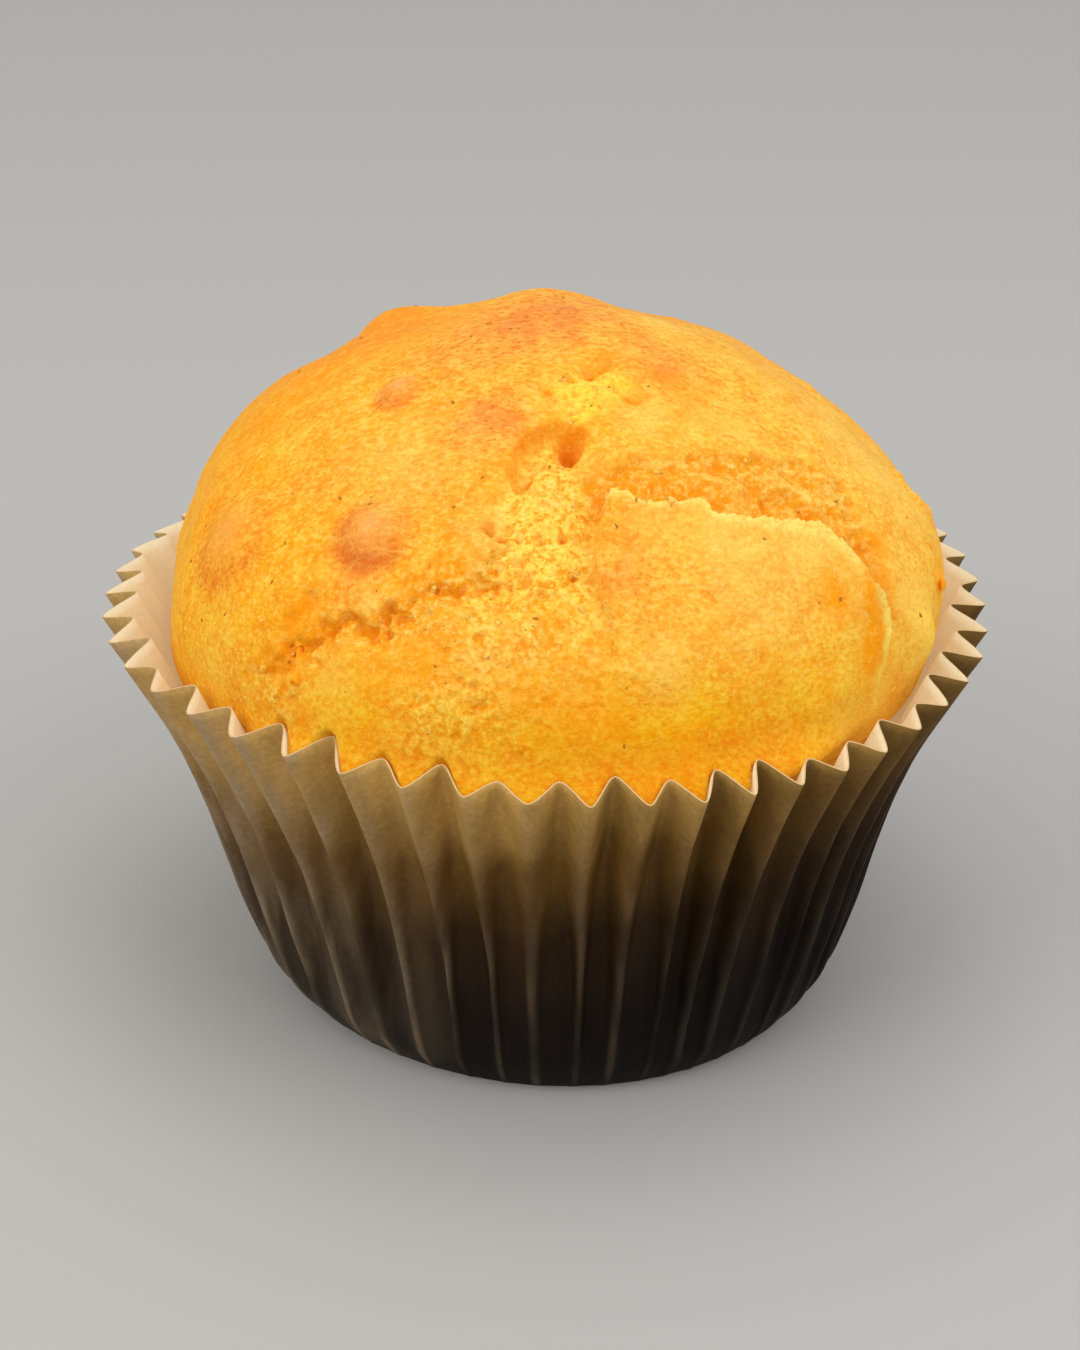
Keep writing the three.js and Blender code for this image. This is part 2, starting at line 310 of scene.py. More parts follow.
def wave_sum(tree, waves, azimuth):
    """A node that adds up waves round the case, each with its lobes, its crest's azimuth and its swing."""
    total = 0.0
    for lobes, crest, swing in waves:
        phase = times(tree, add(tree, "SUBTRACT", [azimuth, math.radians(crest)]), lobes)
        total = add(tree, "MULTIPLY_ADD", [add(tree, "COSINE", [phase]), swing, total])
    return total


def tip_radius(tree, size, share):
    """Radius of the pleats' tips at a share of the slant: a leaning wall, a little bowed, its foot
    rounded."""
    lean = add(tree, "SUBTRACT", [size["Rim radius"], size["Foot radius"]])
    straight = add(tree, "MULTIPLY_ADD", [lean, share, size["Foot radius"]])
    bow = add(tree, "SINE", [times(tree, share, math.pi)])
    sway = add(tree, "SINE", [times(tree, share, 2 * math.pi)])
    bowed = add(tree, "MULTIPLY_ADD", [bow, size["Wall bulge"], straight])
    swayed = add(tree, "MULTIPLY_ADD", [sway, size["Wall sway"], bowed])
    bent = add(tree, "SUBTRACT", [1.0, add(tree, "DIVIDE", [share, size["Foot bend"]])])
    tuck = squared(tree, add(tree, "MAXIMUM", [bent, 0.0]))
    step = add(tree, "SUBTRACT", [size["Foot radius"], size["Base radius"]])
    return add(tree, "SUBTRACT", [swayed, times(tree, step, tuck)])


def pleat_depth(tree, size, share, tip):
    """Depth from tip to fold: the pleats' flanks use up what the flat disc has more than the wall's girth.
    Round the foot they are pressed flat."""
    pitch = add(tree, "DIVIDE", [math.pi, size["Pleats"]])
    reach = add(tree, "MULTIPLY_ADD", [size["Slant length"], share, size["Base radius"]])
    flank = squared(tree, times(tree, reach, pitch))
    middle = times(tree, tip, pitch, PLEAT_MIDDLE)
    spare = add(tree, "SUBTRACT", [flank, squared(tree, middle)])
    sharp = add(tree, "SQRT", [add(tree, "MAXIMUM", [spare, 0.0])])
    pressed = ramp(tree, share, 0.0, FOOT_ZONE, FOOT_DEPTH, 1.0, interpolation_type="SMOOTHSTEP")
    return times(tree, sharp, pressed, size["Fold rounding"])


def paper_radius(tree, size, share, crease, lobe_wave, depth_wave):
    """Radius of the paper at a share of the slant, with the crease 0 at a pleat's tip and 1 at its fold."""
    tip = tip_radius(tree, size, share)
    depth = times(tree, pleat_depth(tree, size, share, tip), depth_wave)
    swing = add(tree, "ShaderNodeMix", [share, *LOBE_SWINGS])
    lobed = add(tree, "MULTIPLY_ADD", [swing, lobe_wave, tip])
    return add(tree, "SUBTRACT", [lobed, times(tree, depth, crease)])


def jolted(tree, mesh, length, depth, detail):
    """A mesh whose points are moved by one cloudy noise, with lumps of this length and jolts of this
    depth."""
    fineness = add(tree, "DIVIDE", [1.0, length])
    lookup = {"Vector": add(tree, "GeometryNodeInputPosition"), "Scale": fineness, "Detail": detail}
    jolt = add(tree, "ShaderNodeTexNoise", lookup, normalize=False).outputs["Color"]
    return add(tree, "GeometryNodeSetPosition", {"Geometry": mesh, "Offset": scaled(tree, jolt, depth)})


def make_case_tree():
    """The pleated wall and the flat floor, bent from one grid that runs round the case and up its slant."""
    tree, group = start_tree("pleated_paper_case", CASE_SIZES)
    size = group.outputs
    columns = add(tree, "MULTIPLY_ADD", [size["Pleats"], size["Points per pleat"], 1.0])
    rows = add(tree, "ADD", [size["Wall rows"], size["Floor rows"]])
    grid_size = {"Size X": 1.0, "Size Y": 1.0, "Vertices X": columns, "Vertices Y": rows}
    grid = add(tree, "GeometryNodeMeshGrid", grid_size)
    cell = add(tree, "ShaderNodeSeparateXYZ", [add(tree, "GeometryNodeInputPosition")])
    turn = add(tree, "ADD", [cell.outputs["X"], 0.5])
    row = add(tree, "ADD", [cell.outputs["Y"], 0.5])
    floor_share = add(tree, "DIVIDE", [size["Floor rows"], add(tree, "SUBTRACT", [rows, 1.0])])
    share = ramp(tree, row, floor_share, 1.0)
    spread = ramp(tree, row, 0.0, floor_share)

    even = add(tree, "MULTIPLY_ADD", [turn, 2 * math.pi, math.radians(FIRST_TIP_AZIMUTH)])
    azimuth = add(tree, "ADD", [even, wave_sum(tree, WIDTH_WAVES, even)])
    lobe_wave = wave_sum(tree, [(LOBE_COUNT, LOBE_AZIMUTH, 1.0)], azimuth)
    depth_wave = add(tree, "ADD", [wave_sum(tree, DEPTH_WAVES, azimuth), 1.0])

    pleat = times(tree, turn, size["Pleats"])
    number = add(tree, "ROUND", [pleat])
    count = add(tree, "MODULO", [number, size["Pleats"]])
    part = add(tree, "SUBTRACT", [pleat, number])
    chance = {"ID": count, "Seed": size["Seed"]}
    width_chance = random_between(tree, size["Narrowest ridge"], size["Widest ridge"], **chance)
    most_left = times(tree, size["Ridge shift"], -1.0)
    shift_chance = random_between(tree, most_left, size["Ridge shift"], **chance)
    low_down = ramp(tree, share, *RIDGE_ZONE, interpolation_type="SMOOTHSTEP")
    shift = times(tree, shift_chance, low_down)
    inner = add(tree, "SUBTRACT", [1.0, squared(tree, times(tree, part, 2.0))])
    moved = add(tree, "MULTIPLY_ADD", [shift, inner, part])
    aside = times(tree, add(tree, "ABSOLUTE", [moved]), 2.0)
    narrow = times(tree, width_chance, size["Ridge width low down"])
    width = add(tree, "ShaderNodeMix", [low_down, 1.0, narrow])
    from_tip = add(tree, "MINIMUM", [add(tree, "DIVIDE", [aside, width]), 1.0])
    round_wave = add(tree, "COSINE", [times(tree, from_tip, math.pi)])
    crisp = add(tree, "ARCSINE", [times(tree, round_wave, size["Fold crispness"])])
    level = add(tree, "DIVIDE", [crisp, add(tree, "ARCSINE", [size["Fold crispness"]])])
    crease = add(tree, "MULTIPLY_ADD", [level, -0.5, 0.5])

    radius = paper_radius(tree, size, share, crease, lobe_wave, depth_wave)
    at_rim = paper_radius(tree, size, 1.0, crease, lobe_wave, depth_wave)
    at_base = paper_radius(tree, size, 0.0, crease, lobe_wave, depth_wave)
    lean = squared(tree, add(tree, "SUBTRACT", [at_rim, at_base]))
    upright = add(tree, "SUBTRACT", [squared(tree, size["Slant length"]), lean])
    height = times(tree, add(tree, "SQRT", [upright]), share)
    reach = times(tree, radius, spread)
    x = times(tree, reach, add(tree, "COSINE", [azimuth]))
    y = times(tree, reach, add(tree, "SINE", [azimuth]))
    point = add(tree, "ShaderNodeCombineXYZ", [x, y, height])
    mark = {"Geometry": grid, "Name": "crease", "Value": crease}
    marked = add(tree, "GeometryNodeStoreNamedAttribute", mark)
    bent = add(tree, "GeometryNodeSetPosition", {"Geometry": marked, "Position": point})
    closed = add(tree, "GeometryNodeMergeByDistance", {"Geometry": bent, "Distance": 0.001 * MM})

    up = add(tree, "ShaderNodeSeparateXYZ", [add(tree, "GeometryNodeInputPosition")]).outputs["Z"]
    depth = times(tree, ramp(tree, up, 0.0, SMOOTH_FOOT), size["Crinkle depth"])
    crinkled = jolted(tree, closed, size["Crinkle length"], depth, 2.0)
    end_tree(tree, crinkled, brown_paper)
    return tree


paper_case = grow("paper_case_dressed", make_case_tree(), CASE_SIZES)
paper_case.data.materials.append(cream_paper)
paper_case.data.materials.append(cut_paper)
thickness = paper_case.modifiers.new("paper thickness", "SOLIDIFY")
thickness.thickness = PAPER_THICKNESS
thickness.offset = -1.0
thickness.material_offset = 1
thickness.material_offset_rim = 2
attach(paper_case, "root")
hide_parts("paper_case")


# ---- Baked muffin ----
# Carrot batter, baked until its top rose into a dome with a thin satin crust. As it rose the crust split: a
# flap lifted at the front right over a torn hollow, a crack runs to the left, and open crumb shows where they
# meet.

_, muffin_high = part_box("muffin")
CROWN_CENTRE = np.array([-0.45, -0.8])
CROWN_RADIUS = 33.2
SHOULDER_HEIGHT = 37.4
TOP_HEIGHT = round(muffin_high.z / MM, 1)
CROWN_SQUARENESS = (1.5, 2.04)  # powers of the dome's outline, across and up
SIDE_LENGTH = 6.0  # upright side below the shoulder that shows over the paper
SIDE_TAPER = 0.9  # how far the side draws in over that length
RING_STEP = 0.262  # between rings, down the crust
RING_POINT_STEP = 0.29  # between the points of a ring
FEWEST_RING_POINTS = 6
FRONT_CROWDING = 0.3  # how much closer those points are at the front, and wider apart at the back
BODY_RADII = [  # height, radius of the batter inside the case
    (29.6, 30.6), (24.0, 28.9), (14.0, 26.0), (3.0, 23.9), (1.4, 22.6),
]
PAPER_GAP = 0.15  # between the upright side and the paper
PLEAT_FILL = 3.4  # how far the batter pushed into the pleats, past their folds
RIM_LEVEL = 34.2  # height up to which every fold of the paper reaches
RIM_TOP = 36.3
WALL_LEAN = 0.33  # how fast the paper widens between the two
OVERHANG = 1.6  # how fast the crust may spread out again above the rim, per millimetre of height
PRESSED_TOP = 1.5  # how far above the shoulder the paper can still hold the crust in
FOLD_LEVELS = (28.0, 36.0)  # the paper's folds are measured between these heights, a millimetre apart
FOLD_LEVEL_REACH = 0.8
FOLD_SECTOR = 10  # degrees
FOLD_SECTOR_REACH = 4.5
FRONT_FILL = 4.0  # how far the batter bulges at the front, until the paper holds it
FRONT_FACING = (0.66, 0.95)  # cosines of the azimuth from the front where the bulge fades out and is full
FRONT_FILL_DROP = 4.0  # how far below the shoulder it bulges most
FRONT_FILL_REACH = 2.2

# Places on the crust are laid out flat: x and y are distances along the crust from the top of the dome.
SWELLINGS = [  # azimuth, distance down the crust, reach, height
    (142, 17.5, 4, 1.1), (152, 22.5, 3.5, -1.1), (112, 14, 5, -0.7), (92, 9, 4, 0.8), (55, 14, 7, -0.9),
    (15, 23, 7, -1.0), (4, 31, 6, -1.0), (352, 40, 5, 0.4), (174, 37, 7, -1.2), (190, 39, 7, -1.1),
    (184, 43, 5, -0.5), (332, 41, 5, 0.8), (30, 29, 6, -0.6), (14, 37, 5, -0.4),
]


def crown_outline():
    """Arc length down the crust, radius and height, along the dome's outline from its top to its shoulder."""
    angle = np.linspace(np.pi / 2, 0, 2001)
    across = CROWN_RADIUS * np.clip(np.cos(angle), 0, None) ** (2 / CROWN_SQUARENESS[0])
    up = SHOULDER_HEIGHT + (TOP_HEIGHT - SHOULDER_HEIGHT) * np.sin(angle) ** (2 / CROWN_SQUARENESS[1])
    arc = np.concatenate([[0], np.cumsum(np.hypot(np.diff(across), np.diff(up)))])
    return arc, across, up


ARC, ACROSS, UP = crown_outline()
CROWN_LENGTH = ARC[-1]


def crust_spot(azimuth, down):
    """Points of the plain dome and its upright side, with their outward normals."""
    below = np.maximum(0, down - CROWN_LENGTH)
    taper = SIDE_TAPER * (below / SIDE_LENGTH) ** 2
    radius = np.interp(down, ARC, ACROSS) - taper
    height = np.interp(down, ARC, UP) - below
    lean_in = np.interp(down, ARC, np.gradient(ACROSS, ARC))
    lean_down = np.where(below > 0, -1.0, np.interp(down, ARC, np.gradient(UP, ARC)))
    lean_in = np.where(below > 0, 0.0, lean_in)
    away = np.stack([np.cos(azimuth), np.sin(azimuth)], -1)
    point = np.column_stack([CROWN_CENTRE + away * radius[:, None], height])
    normal = np.column_stack([away * -lean_down[:, None], lean_in])
    return point, normal / np.linalg.norm(normal, axis=1, keepdims=True)


def ease(value, start, end):
    """0 up to the start, 1 from the end on, and a smooth rise between."""
    share = np.clip((value - start) / (end - start), 0, 1)
    return share * share * (3 - 2 * share)


def smooth_line(points, closed=False, pieces=6):
    """A smooth line through a few points, as many short straight pieces."""
    points = np.array(points, float)
    if closed:
        ends = np.vstack([points[-1:], points, points[:2]])
    else:
        ends = np.vstack([2 * points[0] - points[1], points, 2 * points[-1] - points[-2]])
    line = []
    for before, start, end, after in zip(ends, ends[1:], ends[2:], ends[3:]):
        for t in np.arange(pieces) / pieces:
            bend = 2 * before - 5 * start + 4 * end - after
            twist = 3 * (start - end) + after - before
            line.append(start + 0.5 * t * (end - before + t * (bend + t * twist)))
    line.append(line[0] if closed else points[-1])
    return np.array(line)


def distance_to(spots, line):
    """Distance from each spot to a line."""
    nearest = np.full(len(spots), np.inf)
    for start, end in zip(line, line[1:]):
        along = end - start
        share = np.clip((spots - start) @ along / (along @ along), 0, 1)
        nearest = np.minimum(nearest, np.linalg.norm(spots - start - share[:, None] * along, axis=1))
    return nearest


def depth_inside(spots, line):
    """Distance to a closed line, above zero inside it and below zero outside."""
    inside = np.zeros(len(spots), bool)
    for (x0, y0), (x1, y1) in zip(line, line[1:]):
        crosses = (y0 > spots[:, 1]) != (y1 > spots[:, 1])
        if y0 != y1:
            inside ^= crosses & (spots[:, 0] < x0 + (x1 - x0) * (spots[:, 1] - y0) / (y1 - y0))
    return np.where(inside, 1, -1) * distance_to(spots, line)


NOISE_STEPS = (17.3, 5.1, 9.7)  # how far a noise moves along each axis for the next seed
PIT_STEPS = (11.9, 3.7, 6.1)
CELL_JUMP = 3.3  # how far apart the chances of neighbouring cells are drawn, so that they differ
PIT_SIDE = (0.25, 0.5)  # width of a pit's sloping side, and what chance adds to it
PIT_STEEPNESS = 1.3


def rough(points, size, octaves=3, seed=0):
    """Cloudy noise of about -1 to 1 whose largest lumps have this size."""
    shift = Vector([seed * step for step in NOISE_STEPS])
    return np.array([noise.fractal(Vector(p) / size + shift, 1.0, 2.0, octaves) for p in points])


def pits_in(points, size, share, seed=0):
    """Crisp little holes strewn like the cells of a sponge. The share says how many of the cells are open."""
    shift = Vector([seed * step for step in PIT_STEPS])
    holes = []
    for p, open_share in zip(points, share):
        distances, centres = noise.voronoi(Vector(p) / size + shift)
        chance = 0.5 + 0.5 * noise.cell(centres[0] * CELL_JUMP)
        inwards = (distances[1] - distances[0]) / (PIT_SIDE[0] + PIT_SIDE[1] * chance)
        holes.append(min(1.0, PIT_STEEPNESS * inwards) if chance < open_share else 0.0)
    return np.array(holes)


FLAP_LIP = [
    (4.7, -23.7), (6.1, -23.3), (7.3, -23.9), (9.4, -23.6), (12.3, -22.9), (13.2, -23.7), (17.8, -22.5),
    (22.0, -20.9), (24.3, -21.1), (27.9, -22.3), (30.5, -22.6), (32.0, -23.9), (33.0, -26.3), (34.9, -29.5),
]
FLAP_LEFT_EDGE = [(6.0, -50.0), (5.6, -36.0), (4.2, -31.5), (3.7, -28.5), (4.0, -26.0)]
FLAP_BOTTOM = [(42.0, -34.0), (36.0, -46.0)]
FLAP_LIFT = 1.6
FLAP_LIFT_REACH = 9.0
FLAP_EDGE = 0.35
FLAP_SETTLES = (26.0, 33.0)  # x: the flap lies lower and lower there
FLAP_SETTLING = 0.55  # share of its height that it loses
FLAP_GROOVE = [(26.2, -19.8), (28.9, -20.9), (31.2, -22.0), (33.0, -24.3), (34.0, -27.4)]
GROOVE_DEPTH = 1.2
GROOVE_REACH = 1.1
HOLLOW_DEPTH = 2.4
HOLLOW_REACH = 3.4
TORN_BAND = [
    (2.6, -21.5), (3.3, -20.2), (5.8, -18.7), (9.3, -17.5), (13.1, -16.1), (17.5, -14.3), (21.1, -13.3),
    (24.4, -12.0), (26.3, -13.8), (28.4, -16.0), (30.9, -19.3), (31.2, -23.5), (24.0, -23.4), (12.0, -26.0),
    (5.0, -25.5),
]
OPEN_CRUMB = [
    (0.7, -15.9), (-2.0, -17.2), (-3.3, -20.4), (-4.5, -22.3), (-6.1, -22.8), (-5.2, -25.7), (-5.1, -27.7),
    (-6.4, -30.0), (-8.0, -33.0), (-5.0, -36.0), (0.0, -37.0), (4.5, -35.0), (4.4, -31.0), (4.2, -27.0),
    (4.8, -23.5), (3.4, -20.4), (3.2, -17.2),
]
OPEN_CRUMB_DEPTH = 0.95
OPEN_CRUMB_END = (-36.0, -29.0)  # y: it fades out between these, towards the paper
OPEN_CRUMB_LEAST = 0.4  # how strongly it still shows there
TORN_DEPTH = 0.35
TORN_RAGGEDNESS = 0.8  # how far torn edges wander
TORN_WANDER = 1.7  # length of crust over which they wander
FINE_RAGGEDNESS = 0.45  # share of that which cleaner edges keep
CRISP_RAGGEDNESS = 0.3  # how much further the crack's edges wander
CRISP_WANDER = 0.8

# Distances past its outline, outwards below zero, at which each torn place starts and is full.
TORN_EDGE = (-0.1, 1.0)
OPEN_CRUMB_EDGE = (-0.3, 1.6)
OPEN_CRUMB_BANK = (-0.1, 1.2)
TEAR_EDGE = (-0.4, 1.2)
RECESS_BANK = (-0.15, 0.45)
RECESS = [
    (-3.2, -20.9), (-2.5, -17.9), (-1.2, -16.5), (0.7, -15.9), (2.9, -16.5), (2.5, -18.2), (1.2, -19.7),
    (0.2, -18.6), (-0.8, -19.8), (-1.9, -22.0), (-2.9, -22.4),
]
RECESS_DEPTH = 0.9
RECESS_WALL = [(-3.0, -22.0), (-3.0, -20.4), (-2.2, -18.1), (-0.9, -16.9), (0.7, -16.3), (2.6, -16.9)]
HOLE = (1.7, -17.1)
HOLE_RADII = (0.95, 1.1)
HOLE_DEPTH = 2.0
YELLOW_TEAR = [
    (-0.7, -11.2), (0.3, -13.5), (1.2, -15.4), (2.9, -15.8), (4.4, -14.5), (5.7, -12.9), (7.7, -11.7),
    (6.6, -10.2), (5.3, -8.9), (4.1, -7.8), (2.9, -9.2), (1.6, -10.5),
]
TEAR_DEPTH = 0.3
SPOT_PIT_DEPTH = 0.9
SPOT_PIT_REACH = 1.3  # how far a pit fades out, in its radii
TEAR_PITS = [(4.5, -8.4, 0.55), (3.2, -9.7, 0.5), (6.9, -12.0, 0.7), (-0.2, -12.2, 0.4)]  # x, y, radius
CRUMB_PITS = [
    (-3.5, -30.6, 0.3), (-2.1, -30.2, 0.45), (-0.8, -31.6, 0.4), (2.1, -29.8, 0.35), (-5.0, -25.9, 0.35),
    (-4.2, -26.5, 0.25), (-0.7, -26.7, 0.25), (1.2, -26.4, 0.25),
]
LEFT_CRACK = [
    (-4.5, -30.3), (-7.9, -30.6), (-10.2, -30.5), (-12.3, -31.9), (-13.9, -31.3), (-14.9, -32.6),
    (-16.1, -31.7), (-17.9, -30.5), (-19.7, -30.9), (-21.6, -31.5), (-23.7, -31.5), (-27.1, -31.2),
    (-30.4, -29.9),
]
CRACK_LOWER_SIDE = [(-31.0, -38.0), (-24.0, -48.0), (-4.0, -48.0)]
CRACK_DEPTH = 0.55
CRACK_WIDTH = 0.25  # half the usual width of the gap
CRACK_UNEVENNESS = 0.9
CRACK_WANDER = 2.4  # length over which its width changes
CRACK_WIDTHS = (-0.2, 0.8)  # the least, where it closes, and the most
CRACK_EDGE = (-0.3, 0.15)
CRACK_NARROWING = 0.35  # how much narrower it is towards the open crumb
CRACK_NARROWS = (-13.0, -9.0)  # x
CRACK_END = (-32.0, -25.0)  # x: it runs out between these
CRACK_BED_DEPTH = 0.25
CRACK_BED_REACH = 1.8
LEDGE_DROP = 0.4  # how far the crust below the crack slipped down
LEDGE_REACH = 4.0
LEDGE_EDGE = (-0.3, 0.3)
LEDGE_START = (-3.0, -6.0)  # x: it slipped left of these
SIDE_CRACK_DEPTH = 0.6
SIDE_CRACK_WIDTH = 0.7
SIDE_CRACK_EDGE = (-0.5, 0.4)
SIDE_CRACK = [(-20.7, -28.0), (-22.3, -28.6), (-23.6, -29.3), (-24.0, -31.0)]
CARROT_REACH = 1.3
CARROT_STREAKS = [
    [(27.7, -23.3), (28.9, -24.8), (30.2, -26.6), (30.6, -28.6)],
    [(39.2, -9.6), (39.9, -11.2)],
    [(24.0, -25.8), (25.2, -26.4)],
]
CARROT_SPOTS = [  # x, y, reach, strength
    (14.4, -33.1, 1.4, 0.5), (20.0, -33.5, 1.6, 0.5), (-10.9, -35.7, 1.8, 0.6), (-3.0, -39.0, 2.0, 0.6),
    (17.5, -39.5, 0.9, 0.6), (-25.0, -36.0, 1.5, 0.5), (13.5, -42.0, 2.4, 0.6), (9.8, -15.4, 0.8, 0.7),
    (26.5, -33.0, 1.2, 0.5), (-22.6, -28.6, 2.0, 1.0), (-24.7, -31.4, 2.1, 1.0), (0.3, -33.8, 1.6, 0.5),
    (24.0, -9.0, 0.9, 0.4), (-4.0, -34.5, 1.2, 0.4), (6.5, -41.0, 1.6, 0.5), (24.5, -38.0, 1.3, 0.5),
    (11.0, 14.0, 1.5, 0.6), (-6.0, 27.0, 1.6, 0.6), (25.0, 20.0, 1.8, 0.6), (-24.0, 22.0, 1.6, 0.6),
]
AMBER_PLACES = [  # x, y, reach, strength: deep orange patches
    (-20.0, 9.0, 9.0, 0.9), (-13.0, 4.0, 6.0, 1.0), (-24.5, -3.0, 6.0, 0.5), (-31.5, -11.0, 4.5, 0.3),
    (9.8, -9.0, 2.4, 0.7), (29.3, -17.3, 1.8, 1.0), (27.7, -18.9, 1.4, 0.9), (24.5, -24.0, 2.0, 0.35),
    (31.6, -20.3, 1.5, 0.7), (-14.9, -37.9, 3.0, 0.6), (27.9, -23.6, 1.6, 0.9), (29.6, -25.2, 2.0, 1.0),
    (30.8, -27.4, 1.8, 1.0), (1.8, -40.4, 3.0, 0.5), (7.5, -43.5, 4.0, 0.35), (20.0, -39.0, 3.0, 0.25),
    (-8.0, -29.0, 1.5, 0.4), (18.3, -19.6, 1.8, 1.0), (12.5, -20.8, 2.2, 1.0), (9.0, -21.2, 1.8, 0.8),
    (5.5, -21.3, 2.0, 0.8), (14.0, -16.8, 1.1, 0.9), (17.5, -15.3, 1.0, 1.0), (23.5, -14.3, 0.9, 0.8),
    (3.8, -13.5, 1.0, 0.9), (6.8, -12.2, 1.0, 0.8), (-1.0, -33.5, 1.8, 0.5), (-4.5, -23.6, 0.9, 0.7),
    (4.0, -27.5, 0.9, 0.8), (2.0, -28.8, 0.9, 0.6), (-20.0, -33.5, 2.5, 0.4), (5.0, -7.4, 1.0, 0.6),
    (-13.0, 24.0, 7.0, 0.6), (14.0, 22.0, 6.0, 0.5), (33.0, 8.0, 5.0, 0.4), (-34.0, 8.0, 5.0, 0.4),
    (2.0, 38.0, 6.0, 0.5),
]
PALE_PLACES = [  # x, y, reach, strength: pale yellow, on thin crust, and as painted highlight on raised places
    (0.0, -21.9, 1.6, 0.9), (8.0, -25.0, 2.5, 0.35), (14.0, -24.8, 2.8, 0.35), (19.5, -23.8, 2.5, 0.35),
    (-4.8, -26.2, 2.2, 0.6), (22.2, -22.8, 2.6, 0.7), (27.5, -24.0, 1.4, 0.8), (17.2, -29.2, 5.0, 0.4),
    (14.8, -12.4, 3.0, 0.4), (26.6, -5.4, 4.0, 0.5), (35.8, -27.5, 2.2, 0.7), (-5.2, -37.2, 2.3, 0.9),
    (-37.0, -26.5, 4.0, 0.3), (9.8, -36.6, 2.2, 0.7), (-12.1, -18.0, 4.0, 0.35), (35.5, -19.0, 3.0, 0.9),
    (32.3, -8.4, 3.0, 0.4), (1.0, -12.2, 1.3, 0.6), (8.0, -14.4, 2.2, 0.7), (-25.5, -33.8, 1.8, 0.6),
    (-20.8, -35.3, 2.5, 0.6), (-31.0, -24.5, 3.0, 0.2), (-15.2, -30.4, 1.2, 0.9), (-10.5, -40.5, 3.0, 0.5),
    (20.5, -17.6, 2.0, 0.5), (9.4, 2.9, 3.0, 0.4), (39.0, -22.0, 2.5, 0.6), (36.2, -28.3, 3.0, 0.6),
    (31.5, -33.8, 3.5, 0.6), (14.0, -25.0, 2.5, 0.4), (6.0, 30.0, 7.0, 0.5), (-30.0, 24.0, 7.0, 0.5),
    (27.0, 30.0, 7.0, 0.5),
]
COARSE_PLACES = [  # x, y, reach, strength
    (-7.5, -40.5, 4.5, 0.7), (-26.0, -33.5, 3.0, 0.5), (-3.0, -34.0, 5.0, 0.6), (-29.0, -33.0, 3.5, 0.5),
    (-13.0, -40.5, 3.0, 0.6),
]

# How much of each thing the open crumb, the yellow tear, the torn band, the crack's bed and the coarse places
# have: grain, big pits, and loose crumbs that cling there.
GRAIN_SHARES = (1.0, 0.5, 0.65, 0.9, 1.0)
BIG_PIT_SHARES = (0.1, 0.15, 0.08, 0.15, 0.1)
LITTER_SHARES = (0.1, 0.15, 0.06, 0.06, 0.08)
LOW_GRAIN = (29.0, 37.0)  # distances to the front between which the crust grows a little grainier
LOW_GRAININESS = 0.2
FLAP_SMOOTHNESS = 0.8  # share of that which the flap lacks
BIG_PIT_SPACING = 1.0
BIG_PIT_DEPTH = 0.24
SMALL_PIT_SPACING = 0.65
SMALL_PIT_DEPTH = 0.1
SMALL_PIT_SHARE = 0.14  # of the grain
STRAY_PIT_SHARE = 0.01  # of the smooth crust
UNEVENNESS = {  # height, size, octaves, seed
    "waves": (0.25, 7.0, 2, 5),
    "dimples": (0.06, 2.6, 2, 8),
    "wrinkles": (0.03, 1.1, 3, 6),
    "coarse lumps": (0.16, 1.5, 4, 4),
    "fine lumps": (0.12, 0.75, 2, 9),
}
WRINKLE_SQUEEZE = (1.0, 1.0, 1.9)  # wrinkles run across the dome's sides
FIBRE_DEPTH = 0.35
FIBRE_THICKNESS = 1.2
FIBRE_SQUEEZE = (0.35, 1.0, 1.0)  # which leaves them about three times as long as they are thick
FIBRE_AZIMUTH = -25  # degrees: the torn fibres lie along this direction
FIBRE_TURN = np.array(Matrix.Rotation(math.radians(FIBRE_AZIMUTH), 3, "Z"))
BLISTERS = [  # x, y, radius, height, browning of the rim
    (-12.2, -9.7, 1.8, 0.8, 0.9), (-14.5, -24.4, 2.8, 1.2, 1.3), (-28.2, -17.4, 3.9, 0.7, 0.7),
]
BLISTER_SLOPE = (0.15, 1.3)  # shares of the radius between which its side slopes down
BLISTER_HIGHLIGHT_SIZE = 0.62
BLISTER_RIM = 0.95
BLISTER_RIM_WIDTH = 0.4
SMALL_BUMPS = [  # x, y, reach, height
    (33.1, -2.3, 0.9, 0.55), (35.3, -3.7, 1.1, 0.5), (41.9, -17.3, 1.3, 0.4), (38.5, -19.5, 2.5, 0.9),
    (37.5, -1.4, 1.0, 0.4), (25.3, 0.5, 1.5, 0.35), (29.0, 4.0, 1.2, 0.25), (24.5, 9.0, 1.5, 0.25),
    (-9.0, 19.0, 1.5, 0.25), (39.6, -10.8, 1.0, 0.5),
]
BROWNED = [  # x, y, reach, strength
    (-2.6, -4.0, 4.8, 0.7), (-12.5, 3.0, 5.0, 0.2), (-18.4, -17.4, 4.0, 0.25), (-8.0, -18.0, 4.0, 0.2),
    (-4.6, -15.4, 2.8, 1.0), (9.5, -6.5, 3.4, 0.6), (6.3, -29.9, 2.6, 0.45), (-19.0, 9.0, 6.0, 0.35),
    (8.0, 12.0, 6.0, 0.6), (22.0, 14.0, 5.0, 0.5), (-8.0, 24.0, 6.0, 0.6), (1.0, 1.0, 5.5, 0.8),
    (-8.0, -6.0, 4.0, 0.4), (-16.5, -27.0, 2.2, 0.4), (10.5, -38.0, 1.6, 0.4),
]

# How strongly the crust's material shows its finishes, and its painted shade and highlights.
UNDER_LIP_REACH = 1.5  # how far out the painted deep orange shade under the flap's lip reaches
UNDER_LIP_EDGE = (-1.5, 0.5)
